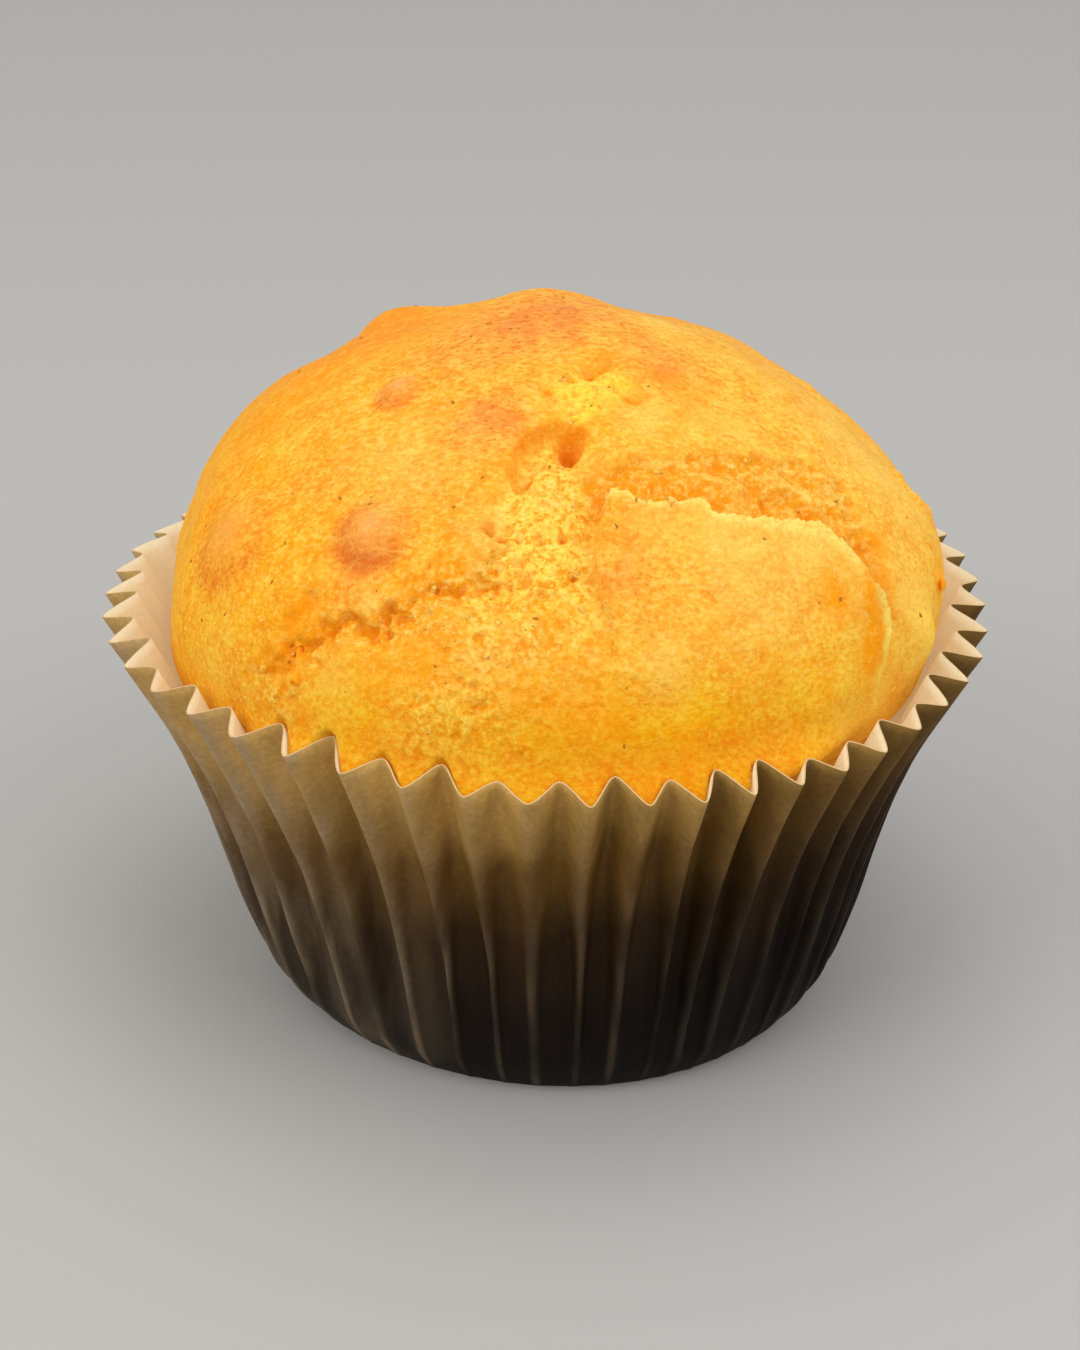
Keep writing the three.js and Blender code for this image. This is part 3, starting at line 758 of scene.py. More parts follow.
# Painted shade: deep orange in the cracks, the hole, the pits, the groove and under the flap's lip.
DEEP_IN_CRACKS = 0.9
DEEP_IN_SPOT_PITS = 0.7
DEEP_IN_PITS = 0.6
# Painted shade in amber: on the crack's upper slope, on the recess wall, along the flap's left edge and under
# its lip.
SHADE_ABOVE_CRACK = 0.7
RECESS_WALL_SHADE_REACH = 0.8  # reach of the painted shade, in amber, on the wall of the recess
FLAP_EDGE_SHADE = 0.6
FLAP_EDGE_SHADE_REACH = 0.7
AMBER_COVER = 0.8  # share of the paler torn fibres and crumb that amber hides in the torn band
LIP_WIDTH = 0.8
LIP_WIDENING = 0.6
LIP_WIDENS = (12.0, 20.0)  # x
LIP_BLUR = (0.5, 1.2)  # widths of the lip between which its painted cream highlight fades out
LIP_FADING = 0.7
LIP_FADES = (24.5, 29.0)  # distances to the front
LIP_LITTER = 0.8
LIP_LITTER_END = (14.5, 12.5)  # x: crumbs cling only to the left end of the lip
DARK_FIBRES = (-0.12, 0.25)  # how deep a groove between fibres starts to show and shows fully
PALE_FIBRES = (0.15, 0.4)
# Painted shade in the dips and painted highlight on the tops of the crumb's lumps fade in over these heights.
GRAIN_DIPS = (0.0, 0.16)
GRAIN_TOPS = (0.04, 0.18)
AMBER_DIPS = 0.5  # how much deeper orange the amber parts of the torn band are


def hollow_at(spots, x, y, reach):
    """1 in the middle of a round spot, fading out over its reach."""
    return np.exp(-np.sum((spots - (x, y)) ** 2, axis=1) / reach**2)


def laid_on(spots, places):
    """The sum of round spots, each with its own strength."""
    return sum(strength * hollow_at(spots, x, y, reach) for x, y, reach, strength in places)


def beside(spots, line, reach):
    """1 on a smooth line, fading out over its reach to both sides."""
    return np.exp(-((distance_to(spots, smooth_line(line)) / reach) ** 2))


def crust_layer(points, kind):
    """How far one of the crust's uneven layers stands out."""
    height, size, octaves, seed = UNEVENNESS[kind]
    return height * rough(points, size, octaves, seed)


def shared_out(places, shares):
    """The sum of several kinds of places, each by its own share."""
    return sum(share * place for share, place in zip(shares, places))


def raise_swellings(points, spots):
    """How far broad swellings, small bumps and the batter that fills the front of the case stand out."""
    relief = laid_on(spots, SMALL_BUMPS)
    for azimuth, down, reach, height in SWELLINGS:
        centre, _ = crust_spot(np.radians([azimuth]), np.array([float(down)]))
        relief += height * np.exp(-np.sum((points - centre[0]) ** 2, axis=1) / reach**2)
    down = np.linalg.norm(spots, axis=1)
    frontal = ease(-spots[:, 1] / np.maximum(down, 1.0), *FRONT_FACING)
    below_bulge = (down - CROWN_LENGTH - FRONT_FILL_DROP) / FRONT_FILL_REACH
    return relief + FRONT_FILL * frontal * np.exp(-(below_bulge**2))


def raise_blisters(spots):
    """How far the blisters stand out, and how strongly their painted highlights and browned, shaded rims
    show.
    """
    relief, top, rim = np.zeros((3, len(spots)))
    for x, y, radius, height, browning in BLISTERS:
        aside = (spots - (x, y)) / radius
        from_middle = np.linalg.norm(aside, axis=1)
        relief += height * (1 - ease(from_middle, *BLISTER_SLOPE))
        top = np.maximum(top, np.exp(-((from_middle / BLISTER_HIGHLIGHT_SIZE) ** 2)))
        # Painted shade: the browned rim is darker on its lower left, the side away from the light.
        lower_left = 0.6 - 0.4 * (aside @ (0.7, 0.7)) / np.maximum(from_middle, 0.01)
        on_rim = np.exp(-(((from_middle - BLISTER_RIM) / BLISTER_RIM_WIDTH) ** 2))
        rim = np.maximum(rim, browning * lower_left * on_rim)
    return relief, top, rim


def open_crack(points, spots, ragged, crisp_ragged):
    """How far the crust sinks at the crack, and how strongly its gap, its branch, its crumbly bed and the
    crust that slipped down below it show."""
    x = spots[:, 0]
    present = ease(x, *CRACK_END)
    unevenness = CRACK_UNEVENNESS * rough(points, CRACK_WANDER, 2, 3)
    width = np.clip(CRACK_WIDTH + unevenness, *CRACK_WIDTHS) - CRACK_NARROWING * ease(x, *CRACK_NARROWS)
    distance = distance_to(crisp_ragged, smooth_line(LEFT_CRACK))
    gap = present * ease(width - distance, *CRACK_EDGE)
    bed = present * np.exp(-((distance / CRACK_BED_REACH) ** 2))
    inside_branch = SIDE_CRACK_WIDTH - distance_to(ragged, smooth_line(SIDE_CRACK))
    branch = present * ease(inside_branch, *SIDE_CRACK_EDGE)
    below = depth_inside(ragged, smooth_line(LEFT_CRACK + CRACK_LOWER_SIDE, closed=True, pieces=3))
    slipped = ease(below, *LEDGE_EDGE) * present * ease(x, *LEDGE_START)
    relief = -(CRACK_DEPTH * gap + SIDE_CRACK_DEPTH * branch + CRACK_BED_DEPTH * bed)
    relief -= LEDGE_DROP * slipped * np.exp(-np.clip(below, 0, None) / LEDGE_REACH)
    return relief, gap, branch, bed, slipped


def sculpt(points, spots):
    """How far the crust stands out from the plain dome at every point, and how strongly each finish shows."""

    def wander(length, octaves, seeds):
        """A cloudy shift along the crust, the same for points that are close together."""
        return np.column_stack([rough(points, length, octaves, seed) for seed in seeds])

    torn_edge = TORN_RAGGEDNESS * wander(TORN_WANDER, 4, (1, 2))
    ragged = spots + torn_edge
    fine_ragged = spots + FINE_RAGGEDNESS * torn_edge
    crisp_ragged = ragged + CRISP_RAGGEDNESS * wander(CRISP_WANDER, 3, (10, 11))
    x, y = spots.T
    blisters, blister_highlight, blister_rim_browning_and_shade = raise_blisters(spots)
    relief = raise_swellings(points, spots) + blisters

    lip_distance = distance_to(fine_ragged, smooth_line(FLAP_LIP))
    flap = depth_inside(fine_ragged, smooth_line(FLAP_LEFT_EDGE + FLAP_LIP + FLAP_BOTTOM, closed=True))
    lifted = FLAP_LIFT * np.exp(-lip_distance / FLAP_LIFT_REACH)
    hollowed = -HOLLOW_DEPTH * np.exp(-lip_distance / HOLLOW_REACH)
    on_flap = ease(flap, -FLAP_EDGE / 2, FLAP_EDGE / 2)
    off_flap = 1 - on_flap
    relief += (hollowed + (lifted - hollowed) * on_flap) * (1 - FLAP_SETTLING * ease(x, *FLAP_SETTLES))
    groove = beside(fine_ragged, FLAP_GROOVE, GROOVE_REACH) * off_flap

    torn_inside = depth_inside(ragged, smooth_line(TORN_BAND, closed=True))
    torn = ease(torn_inside, *TORN_EDGE) * off_flap
    crumb_inside = depth_inside(ragged, smooth_line(OPEN_CRUMB, closed=True))
    crumb_fade = ease(y, *OPEN_CRUMB_END)
    crumb_shows = OPEN_CRUMB_LEAST + (1 - OPEN_CRUMB_LEAST) * crumb_fade
    crumb = ease(crumb_inside, *OPEN_CRUMB_EDGE) * off_flap * crumb_shows
    tear = ease(depth_inside(ragged, smooth_line(YELLOW_TEAR, closed=True)), *TEAR_EDGE)
    recess = ease(depth_inside(fine_ragged, smooth_line(RECESS, closed=True)), *RECESS_BANK)
    hole = np.exp(-np.sum(((spots - HOLE) / HOLE_RADII) ** 2, axis=1) ** 1.5)
    relief -= OPEN_CRUMB_DEPTH * ease(crumb_inside, *OPEN_CRUMB_BANK) * crumb_fade * off_flap
    relief -= GROOVE_DEPTH * groove + RECESS_DEPTH * recess + HOLE_DEPTH * hole
    relief -= TEAR_DEPTH * tear + TORN_DEPTH * torn
    sunk, crack, side_crack, crack_bed, slipped = open_crack(points, spots, ragged, crisp_ragged)
    spot_pits = np.zeros(len(points))
    for pit_x, pit_y, radius in TEAR_PITS + CRUMB_PITS:
        reach = radius * SPOT_PIT_REACH
        spot_pits = np.maximum(spot_pits, hollow_at(fine_ragged, pit_x, pit_y, reach))
    relief += sunk - SPOT_PIT_DEPTH * spot_pits

    torn_places = (crumb, tear, torn, crack_bed, laid_on(spots, COARSE_PLACES))
    low_grain = ease(-y, *LOW_GRAIN) * (1 - FLAP_SMOOTHNESS * on_flap)
    grain = np.clip(shared_out(torn_places, GRAIN_SHARES) + LOW_GRAININESS * low_grain, 0, 1)
    big_pits = pits_in(points, BIG_PIT_SPACING, shared_out(torn_places, BIG_PIT_SHARES), 1)
    small_pits = pits_in(points, SMALL_PIT_SPACING, SMALL_PIT_SHARE * grain + STRAY_PIT_SHARE, 2)
    relief -= BIG_PIT_DEPTH * big_pits + SMALL_PIT_DEPTH * small_pits
    lumps = crust_layer(points, "coarse lumps") + crust_layer(points, "fine lumps")
    fibres = rough(points @ FIBRE_TURN * FIBRE_SQUEEZE, FIBRE_THICKNESS, 3, 7)
    relief += grain * lumps + FIBRE_DEPTH * torn * fibres
    skin = crust_layer(points, "dimples") + crust_layer(points * WRINKLE_SQUEEZE, "wrinkles")
    relief += crust_layer(points, "waves") + (1 - grain) * skin

    at_lip = np.exp(-lip_distance / UNDER_LIP_REACH)
    under_lip = off_flap * at_lip * ease(torn_inside, *UNDER_LIP_EDGE)
    # Painted shade, deep orange, in the cracks, the hole, the pits, the groove and the hollow under the lip.
    deep = DEEP_IN_CRACKS * (crack + hole + under_lip) + DEEP_IN_SPOT_PITS * spot_pits
    deep += DEEP_IN_PITS * (side_crack + groove + big_pits + small_pits)
    carrot = np.zeros(len(points))
    for streak in CARROT_STREAKS:
        carrot = np.maximum(carrot, beside(ragged, streak, CARROT_REACH))
    for *spot, strength in CARROT_SPOTS:
        carrot = np.maximum(carrot, strength * hollow_at(ragged, *spot))
    # Painted shade in amber along the flap's left edge, above the crack, on the recess wall and under the
    # lip.
    shade_at_flap = FLAP_EDGE_SHADE * off_flap * beside(ragged, FLAP_LEFT_EDGE[2:], FLAP_EDGE_SHADE_REACH)
    amber = laid_on(ragged, AMBER_PLACES) + SHADE_ABOVE_CRACK * crack_bed * (1 - slipped)
    amber += beside(fine_ragged, RECESS_WALL, RECESS_WALL_SHADE_REACH) + shade_at_flap
    amber = np.clip(amber + FLAP_EDGE_SHADE * torn * at_lip, 0, 1)
    amber_in_band = torn * amber
    # Painted highlight: a cream band along the flap's lip, where the light catches it.
    lip_width = LIP_WIDTH + LIP_WIDENING * ease(x, *LIP_WIDENS)
    lip_highlight = on_flap * (1 - ease(lip_distance, LIP_BLUR[0] * lip_width, LIP_BLUR[1] * lip_width))
    lip_highlight *= 1 - LIP_FADING * ease(-y, *LIP_FADES)
    litter = shared_out(torn_places, LITTER_SHARES) + LIP_LITTER * lip_highlight * ease(x, *LIP_LITTER_END)
    return relief, {
        "open_crumb": crumb,
        "torn_band": torn - AMBER_COVER * amber_in_band,
        "fibres": torn * ease(-fibres, *DARK_FIBRES),
        "pale_strands": torn * ease(fibres, *PALE_FIBRES) * (1 - amber_in_band),
        "yellow_tear": tear,
        "deep": np.clip(deep, 0, 1),
        "browned": np.clip(laid_on(spots, BROWNED), 0, 1),
        "carrot": carrot,
        "lip_highlight": lip_highlight,
        "grain": grain,
        # Painted shade in the dips of the crumb's lumps, with the torn band's amber, and painted highlight on
        # their tops.
        "shaded_dips_and_amber": grain * ease(-lumps, *GRAIN_DIPS) + AMBER_DIPS * amber_in_band,
        "highlit_tops": grain * ease(lumps, *GRAIN_TOPS) * (1 - AMBER_COVER * amber_in_band),
        "blister_highlight": blister_highlight,
        "blister_rim_browning_and_shade": blister_rim_browning_and_shade,
        "amber": amber,
        "pale": np.clip(laid_on(ragged, PALE_PLACES), 0, 1),
        "litter": np.clip(litter, 0, 1),
    }


def stitch(lower_start, lower_count, upper_start, upper_count):
    """Triangles between two rings, stepping along whichever ring lags behind in its turn."""
    triangles = []
    lower = upper = 0
    while lower < lower_count or upper < upper_count:
        a = lower_start + lower % lower_count
        b = upper_start + upper % upper_count
        ahead = (lower + 1) / lower_count <= (upper + 1) / upper_count
        if upper == upper_count or (lower < lower_count and ahead):
            lower += 1
            triangles.append((a, lower_start + lower % lower_count, b))
        else:
            upper += 1
            triangles.append((a, upper_start + upper % upper_count, b))
    return triangles


def fold_radius(azimuth, height):
    """Radius of the paper's innermost folds around each azimuth, at each height."""
    paper = np.array([corner.co for corner in paper_case.data.vertices]) / MM
    paper_turn = np.arctan2(paper[:, 1], paper[:, 0])
    paper_radius = np.hypot(paper[:, 0], paper[:, 1])
    levels = np.arange(*FOLD_LEVELS)
    sectors = np.radians(np.arange(0, 360 + FOLD_SECTOR, FOLD_SECTOR))
    folds = np.zeros((len(sectors), len(levels)))
    for i, sector in enumerate(sectors):
        near = np.cos(paper_turn - sector) > math.cos(math.radians(FOLD_SECTOR_REACH))
        for j, level in enumerate(levels):
            folds[i, j] = paper_radius[near & (abs(paper[:, 2] - level) < FOLD_LEVEL_REACH)].min()
    place = (azimuth % (2 * np.pi)) / sectors[1]
    sector = place.astype(int)
    rows = [[np.interp(z, levels, folds[i]) for i in (k, k + 1)] for z, k in zip(height, sector)]
    rows = np.array(rows)
    return rows[:, 0] + (rows[:, 1] - rows[:, 0]) * (place - sector)


def paper_radius_at(azimuth, height):
    """Radius of the pleated paper itself in each direction, at each height."""
    finder = BVHTree.FromObject(paper_case, bpy.context.evaluated_depsgraph_get())
    found = []
    for turn, z in zip(azimuth, height):
        outward = Vector((math.cos(turn), math.sin(turn), 0.0))
        found.append(finder.ray_cast(Vector((0.0, 0.0, z * MM)), outward)[3] / MM)
    return np.array(found)


def press_against_paper(points):
    """Inside the paper the batter reaches a little way into the pleats. Above the rim it spreads again."""
    low = points[:, 2] < SHOULDER_HEIGHT + PRESSED_TOP
    azimuth = np.arctan2(points[low, 1], points[low, 0])
    height = np.minimum(points[low, 2], RIM_LEVEL)
    paper = paper_radius_at(azimuth, height) - PAPER_GAP
    room = np.minimum(paper, fold_radius(azimuth, height) + PLEAT_FILL)
    room += WALL_LEAN * np.clip(points[low, 2] - RIM_LEVEL, 0, RIM_TOP - RIM_LEVEL)
    room += OVERHANG * np.maximum(0, points[low, 2] - RIM_TOP)
    away = np.hypot(points[low, 0], points[low, 1])
    points[low, :2] *= np.minimum(1, room / away)[:, None]


def make_muffin_mesh():
    """The sculpted dome, ring by ring down the crust, closed below by the body that fills the case."""
    steps = round((CROWN_LENGTH + SIDE_LENGTH) / RING_STEP)
    downs = np.linspace(CROWN_LENGTH + SIDE_LENGTH, 0, steps + 1)[:-1]
    azimuths, depths, counts = [], [], []
    for down in downs:
        girth = 2 * np.pi * np.interp(down, ARC, ACROSS)
        count = max(FEWEST_RING_POINTS, round(girth / RING_POINT_STEP))
        turn = 2 * np.pi * np.arange(count) / count
        azimuths.append(turn - FRONT_CROWDING * np.sin(turn) - np.pi / 2)
        depths.append(np.full(count, down))
        counts.append(count)
    azimuth = np.concatenate([*azimuths, [0.0]])
    down = np.concatenate([*depths, [0.0]])
    points, normals = crust_spot(azimuth, down)
    spots = np.column_stack([down * np.cos(azimuth), down * np.sin(azimuth)])
    relief, finish = sculpt(points, spots)
    relief *= 1 - ease(down, CROWN_LENGTH + SIDE_LENGTH / 2, CROWN_LENGTH + SIDE_LENGTH)
    sculpted = points + normals * relief[:, None]
    press_against_paper(sculpted)

    body = []
    for height, radius in reversed(BODY_RADII):
        away = np.stack([np.cos(azimuths[0]), np.sin(azimuths[0])], -1)
        body.append(np.column_stack([away * radius, np.full(counts[0], height)]))
    bottom = np.array([[0.0, 0.0, BODY_RADII[-1][0]]])
    positions = np.vstack([bottom, *body, sculpted])
    ring_counts = [counts[0]] * len(body) + counts
    starts = 1 + np.concatenate([[0], np.cumsum(ring_counts)])

    triangles = [(0, starts[0] + (i + 1) % ring_counts[0], starts[0] + i) for i in range(ring_counts[0])]
    for start, count, next_start, next_count in zip(starts, ring_counts, starts[1:], ring_counts[1:]):
        triangles += stitch(start, count, next_start, next_count)
    top = len(positions) - 1
    last = starts[-2]
    triangles += [(last + i, last + (i + 1) % counts[-1], top) for i in range(counts[-1])]

    mesh = bpy.data.meshes.new("muffin_dressed")
    mesh.from_pydata((positions * MM).tolist(), [], np.array(triangles).tolist())
    for name, values in finish.items():
        hidden = np.zeros(len(positions) - len(values))
        mark = mesh.attributes.new(name, "FLOAT", "POINT")
        mark.data.foreach_set("value", np.concatenate([hidden, values]))
    mesh.shade_smooth()
    return mesh


# Baked carrot batter: a dull satin crust, deeper orange on the left and paler yellow on the right, the right
# partly painted light, browned pink on top and at the blisters' rims, and bright yellow crumb where it tore.
# Painted shade makes the cracks, pits, hole, groove, recess wall and the hollow under the flap's lip deeper
# orange, and the blisters' lower left, the skin's pores and the front strip against the paper darker. Painted
# highlights lie pink on the blisters, cream along the flap's lip and pale on the crumb's lumps and granules.
# Light sinks a few tenths of a millimetre into it. Its skin is crossed by fine crooked wrinkles and short
# strokes about 0.4 mm apart, over blotches of about 2.4 and 9 mm. The open crumb is made of granules of
# about 0.5 mm.
CRUST_LEFT = "#fdac18"
CRUST_RIGHT = "#fec144"
CRUST_LOW = "#f6bb0a"
CRUST_YELLOW = "#fecb50"
CRUST_PEACH = "#fbaa40"
CRUST_ORANGE = "#f79818"
CRUST_FLECK = "#ffd66e"
WRINKLE_ORANGE = "#ee9418"
TOASTED_ORANGE = "#dc7826"
AMBER_AND_SHADE_ORANGE = "#fa9a02"
PALE_CRUST = "#ffd468"
BROWNED_CRUST = "#f18e40"
BLISTER_HIGHLIGHT_PINK = "#f7a45c"
BLISTER_ORANGE = "#e67a28"
CRUMB_YELLOW = "#ffe45e"
CRUMB_ORANGE = "#f09a14"
CRUMB_PALE = "#ffde78"
TEAR_YELLOW = "#ffe04c"
TORN_AMBER = "#f2b83a"
FIBRE_ORANGE = "#e8990e"
SHADE_ORANGE = "#f29200"
CARROT_ORANGE = "#ffa206"
LIP_HIGHLIGHT_CREAM = "#ffe276"
NO_DYE = (1.0, 1.0, 1.0, 1.0)
CARROT_DYE = (1.0, 1.0, 0.3, 1.0)  # carrot juice holds back the blue low down at the front, and on the left
PAPER_EDGE_SHADE = (0.82, 0.75, 0.65, 1.0)  # painted shade: the strip against the paper is darker at the front
PORE_SHADE = (0.98, 0.86, 0.6, 1.0)  # painted shade: the crust is darker and deeper orange in its pores
SKIN_SIZE = 0.3
STROKE_SIZE = 0.37
FIBRE_STROKE_SIZE = 0.5
WRINKLE_SIZE = 0.8
GRANULE_SIZE = 0.5
FLAKE_SIZE = 0.55
CRUMB_SIZE = 0.9
BLOTCH_SIZE = 2.4
PATCH_SIZE = 9.0

baked_crust, tree, place = start_material("baked_carrot_batter")
parts = add(tree, "ShaderNodeSeparateXYZ", [place])


def mottle(size, where=place, **inputs):
    """Cloudy noise over the crust, whose lumps have this size in millimetres."""
    return cloudy(tree, where, size, **inputs)


across = squeezed(tree, place, (0.7, 1.0, 1.0))


def wrinkles(size, width):
    """Short crooked lines, longer across than down: where cloudy noise passes its middle, here and there."""
    waves = mottle(size, across, Detail=2.0, Roughness=0.6, Distortion=0.5)
    off_middle = add(tree, "ABSOLUTE", [add(tree, "SUBTRACT", [waves, 0.5])])
    lines = ramp(tree, off_middle, 0.0, width, 1.0, 0.0)
    kept = ramp(tree, mottle(size * 1.4, across, Detail=1.0), 0.44, 0.6)
    return times(tree, lines, kept)


def painted(tone, colour, *amounts):
    """The tone with a colour laid over it, as thickly as the amounts multiplied together say."""
    amount = amounts[0]
    for other in amounts[1:]:
        amount = times(tree, amount, other)
    return mixed(tree, amount, tone, linear(colour))


def marked(name):
    """How strongly the sculpted crust shows one of its finishes or its painted shade and highlights."""
    return add(tree, "ShaderNodeAttribute", attribute_name=name).outputs["Fac"]


patches = mottle(PATCH_SIZE, Detail=2.0)
blotches = mottle(BLOTCH_SIZE, Detail=6.0, Roughness=0.7)
crumbs = mottle(CRUMB_SIZE, Detail=3.0, Roughness=0.65)
skin = mottle(SKIN_SIZE, Detail=3.0, Roughness=0.6)
flakes = mottle(FLAKE_SIZE, Detail=4.0, Roughness=0.65, Distortion=0.25)
fibre_turn = (0.0, 0.0, math.radians(FIBRE_AZIMUTH))
along_fibres = add(
    tree, "ShaderNodeMapping", {"Vector": place, "Rotation": fibre_turn, "Scale": (0.3, 1.0, 1.0)}
)
fibre_strokes = mottle(FIBRE_STROKE_SIZE, along_fibres, Detail=2.0)
dark_fibres = ramp(tree, fibre_strokes, 0.47, 0.39, 0.0, 0.8)
pale_fibres = ramp(tree, fibre_strokes, 0.53, 0.62, 0.0, 0.7)
strokes = mottle(STROKE_SIZE, across, Detail=2.0, Distortion=0.3)
dark_strokes = ramp(tree, strokes, 0.45, 0.37)
pale_strokes = ramp(tree, strokes, 0.54, 0.61)
dark_lines = wrinkles(WRINKLE_SIZE, 0.07)
pale_lines = wrinkles(WRINKLE_SIZE * 0.83, 0.08)
jitter = scaled(tree, crumbs.outputs["Color"], 0.8 * GRANULE_SIZE * MM)
jittered = add(tree, "ShaderNodeVectorMath", [place, jitter], operation="ADD")
cells = {"Vector": jittered, "Scale": 1 / (GRANULE_SIZE * MM), "Smoothness": 0.3}
granules = add(tree, "ShaderNodeTexVoronoi", cells, feature="SMOOTH_F1").outputs["Distance"]

# Paler on the right: partly the crust's own colour, partly painted light on the side the light falls on.
sideways = ramp(tree, parts.outputs["X"], -26 * MM, 26 * MM)
tone = mixed(tree, sideways, linear(CRUST_LEFT), linear(CRUST_RIGHT))
off_centre = add(tree, "ABSOLUTE", [parts.outputs["X"]])
middle = ramp(tree, off_centre, 12 * MM, 28 * MM, 1.0, 0.3)
low = ramp(tree, parts.outputs["Z"], 46 * MM, 38 * MM, 0.0, 0.9)
tone = painted(tone, CRUST_LOW, low, middle)
tone = painted(tone, CRUST_PEACH, ramp(tree, patches, 0.5, 0.3, 0.0, 0.6))
tone = painted(tone, CRUST_ORANGE, ramp(tree, blotches, 0.5, 0.64, 0.0, 0.8))
tone = painted(tone, CRUST_YELLOW, ramp(tree, blotches, 0.48, 0.36, 0.0, 0.7))
uneven = ramp(tree, blotches, 0.35, 0.6, 0.6, 1.3)
grainy = marked("grain")
tone = painted(tone, WRINKLE_ORANGE, dark_strokes, 0.55)
tone = painted(tone, CRUST_FLECK, pale_strokes, 0.5)
# The amber finish holds painted shade on the recess wall, above the crack, at the flap's edge and under its
# lip.
for name, colour, strength in [
    ("amber", AMBER_AND_SHADE_ORANGE, 0.95),
    ("browned", BROWNED_CRUST, 0.85),
    ("blister_rim_browning_and_shade", BLISTER_ORANGE, 0.85),
    ("torn_band", TORN_AMBER, 0.7),
]:
    tone = painted(tone, colour, marked(name), uneven, strength)
# A painted pink highlight on each blister.
for name, colour, strength in [
    ("blister_highlight", BLISTER_HIGHLIGHT_PINK, 0.85),
    ("open_crumb", CRUMB_YELLOW, 0.9),
    ("pale", PALE_CRUST, 0.8),
    ("yellow_tear", TEAR_YELLOW, 0.88),
    ("fibres", FIBRE_ORANGE, 0.8),
    ("pale_strands", CRUMB_PALE, 0.45),
]:
    tone = painted(tone, colour, marked(name), strength)
toasted = add(tree, "MAXIMUM", [marked("browned"), marked("blister_rim_browning_and_shade")])
tone = painted(tone, FIBRE_ORANGE, dark_fibres, marked("torn_band"))
tone = painted(tone, CRUMB_PALE, pale_fibres, marked("torn_band"))
tone = painted(tone, TOASTED_ORANGE, dark_strokes, toasted, 0.95)
# Painted shade between the crumb's granules and a painted highlight on them, following their bump.
shade_between_granules = ramp(tree, granules, 0.35, 0.6)
highlight_on_granules = ramp(tree, granules, 0.3, 0.05)
# Painted shade in the crumb's dips and painted highlight on its tops.
tone = painted(tone, CRUMB_ORANGE, marked("shaded_dips_and_amber"), 0.65)
tone = painted(tone, CRUMB_PALE, marked("highlit_tops"), 0.4)
tone = painted(tone, CRUMB_ORANGE, shade_between_granules, grainy, 0.3)
tone = painted(tone, CRUMB_PALE, highlight_on_granules, grainy, 0.2)
tone = painted(tone, CRUMB_ORANGE, ramp(tree, flakes, 0.47, 0.4, 0.0, 0.9), grainy)
tone = painted(tone, CRUMB_PALE, ramp(tree, flakes, 0.53, 0.6, 0.0, 0.7), grainy)
# Painted shade in the cracks, pits, hole, groove and under the lip.
tone = painted(tone, SHADE_ORANGE, marked("deep"), 0.85)
# Painted highlight along the flap's lip.
tone = painted(tone, LIP_HIGHLIGHT_CREAM, marked("lip_highlight"), 0.9)
tone = painted(tone, CARROT_ORANGE, marked("carrot"), 0.95)
tone = painted(tone, WRINKLE_ORANGE, dark_lines, 0.35)
tone = painted(tone, CRUST_FLECK, pale_lines, 0.35)
# Painted shade in the skin's pores, the low spots of its bump, and a little lighter elsewhere.
in_pores = ramp(tree, skin, 0.55, 0.35)
painted_pore_shade = mixed(tree, in_pores, (1.02, 1.02, 1.02, 1.0), PORE_SHADE)
pore_shaded = dyed(tree, tone, painted_pore_shade)
juicy_low = ramp(tree, parts.outputs["Z"], 44 * MM, 39 * MM)
skinned = add(tree, "MULTIPLY_ADD", [grainy, -0.4, 1.0])
juicy_front = times(tree, juicy_low, middle, skinned)
juicy_left = ramp(tree, parts.outputs["X"], -14 * MM, -28 * MM, 0.0, 0.6)
carrot_dye = mixed(tree, add(tree, "MAXIMUM", [juicy_front, juicy_left]), NO_DYE, CARROT_DYE)
juicy = dyed(tree, pore_shaded, carrot_dye)
# Painted shade along the strip where the crust meets the paper, at the front.
at_paper = ramp(tree, parts.outputs["Z"], 38.5 * MM, 36.5 * MM)
coloured = dyed(tree, juicy, mixed(tree, times(tree, at_paper, middle), NO_DYE, PAPER_EDGE_SHADE))
sponge = add(tree, "MULTIPLY_ADD", [granules, -0.4, flakes])
rough_skin = add(tree, "MULTIPLY_ADD", [dark_lines, -0.25, skin])
height = add(tree, "MULTIPLY_ADD", [times(tree, sponge, grainy), 1.2, rough_skin])
bump = add(tree, "ShaderNodeBump", {"Strength": 0.75, "Distance": 0.1 * MM, "Height": height})
end_material(
    tree,
    {
        "Base Color": coloured,
        "Normal": bump,
        "Roughness": 0.6,
        "IOR": 1.45,
        "Specular IOR Level": 0.08,
        "Subsurface Weight": 0.25,
        "Subsurface Radius": (1.0, 0.5, 0.2),
        "Subsurface Scale": 0.4 * MM,
    },
)

muffin = bpy.data.objects.new("muffin_dressed", make_muffin_mesh())
bpy.context.scene.collection.objects.link(muffin)
muffin.data.materials.append(baked_crust)
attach(muffin, "root")
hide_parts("muffin")


# ---- Loose crumbs ----
# Crumbs of baked batter, a quarter to two thirds of a millimetre across, that broke off along the cracks and
# the flap's lip. They cling there by their own moisture, half sunk into the crust.
CRUMB_SIZES = {
    "Crumbs per square metre": 1.6e6,
    "Smallest": 0.12 * MM,  # radius
    "Largest": 0.34 * MM,
    "Sunk": 0.14 * MM,
    "Raggedness": 0.32 * MM,
    "Lump length": 0.35 * MM,
    "Seed": 3,
}

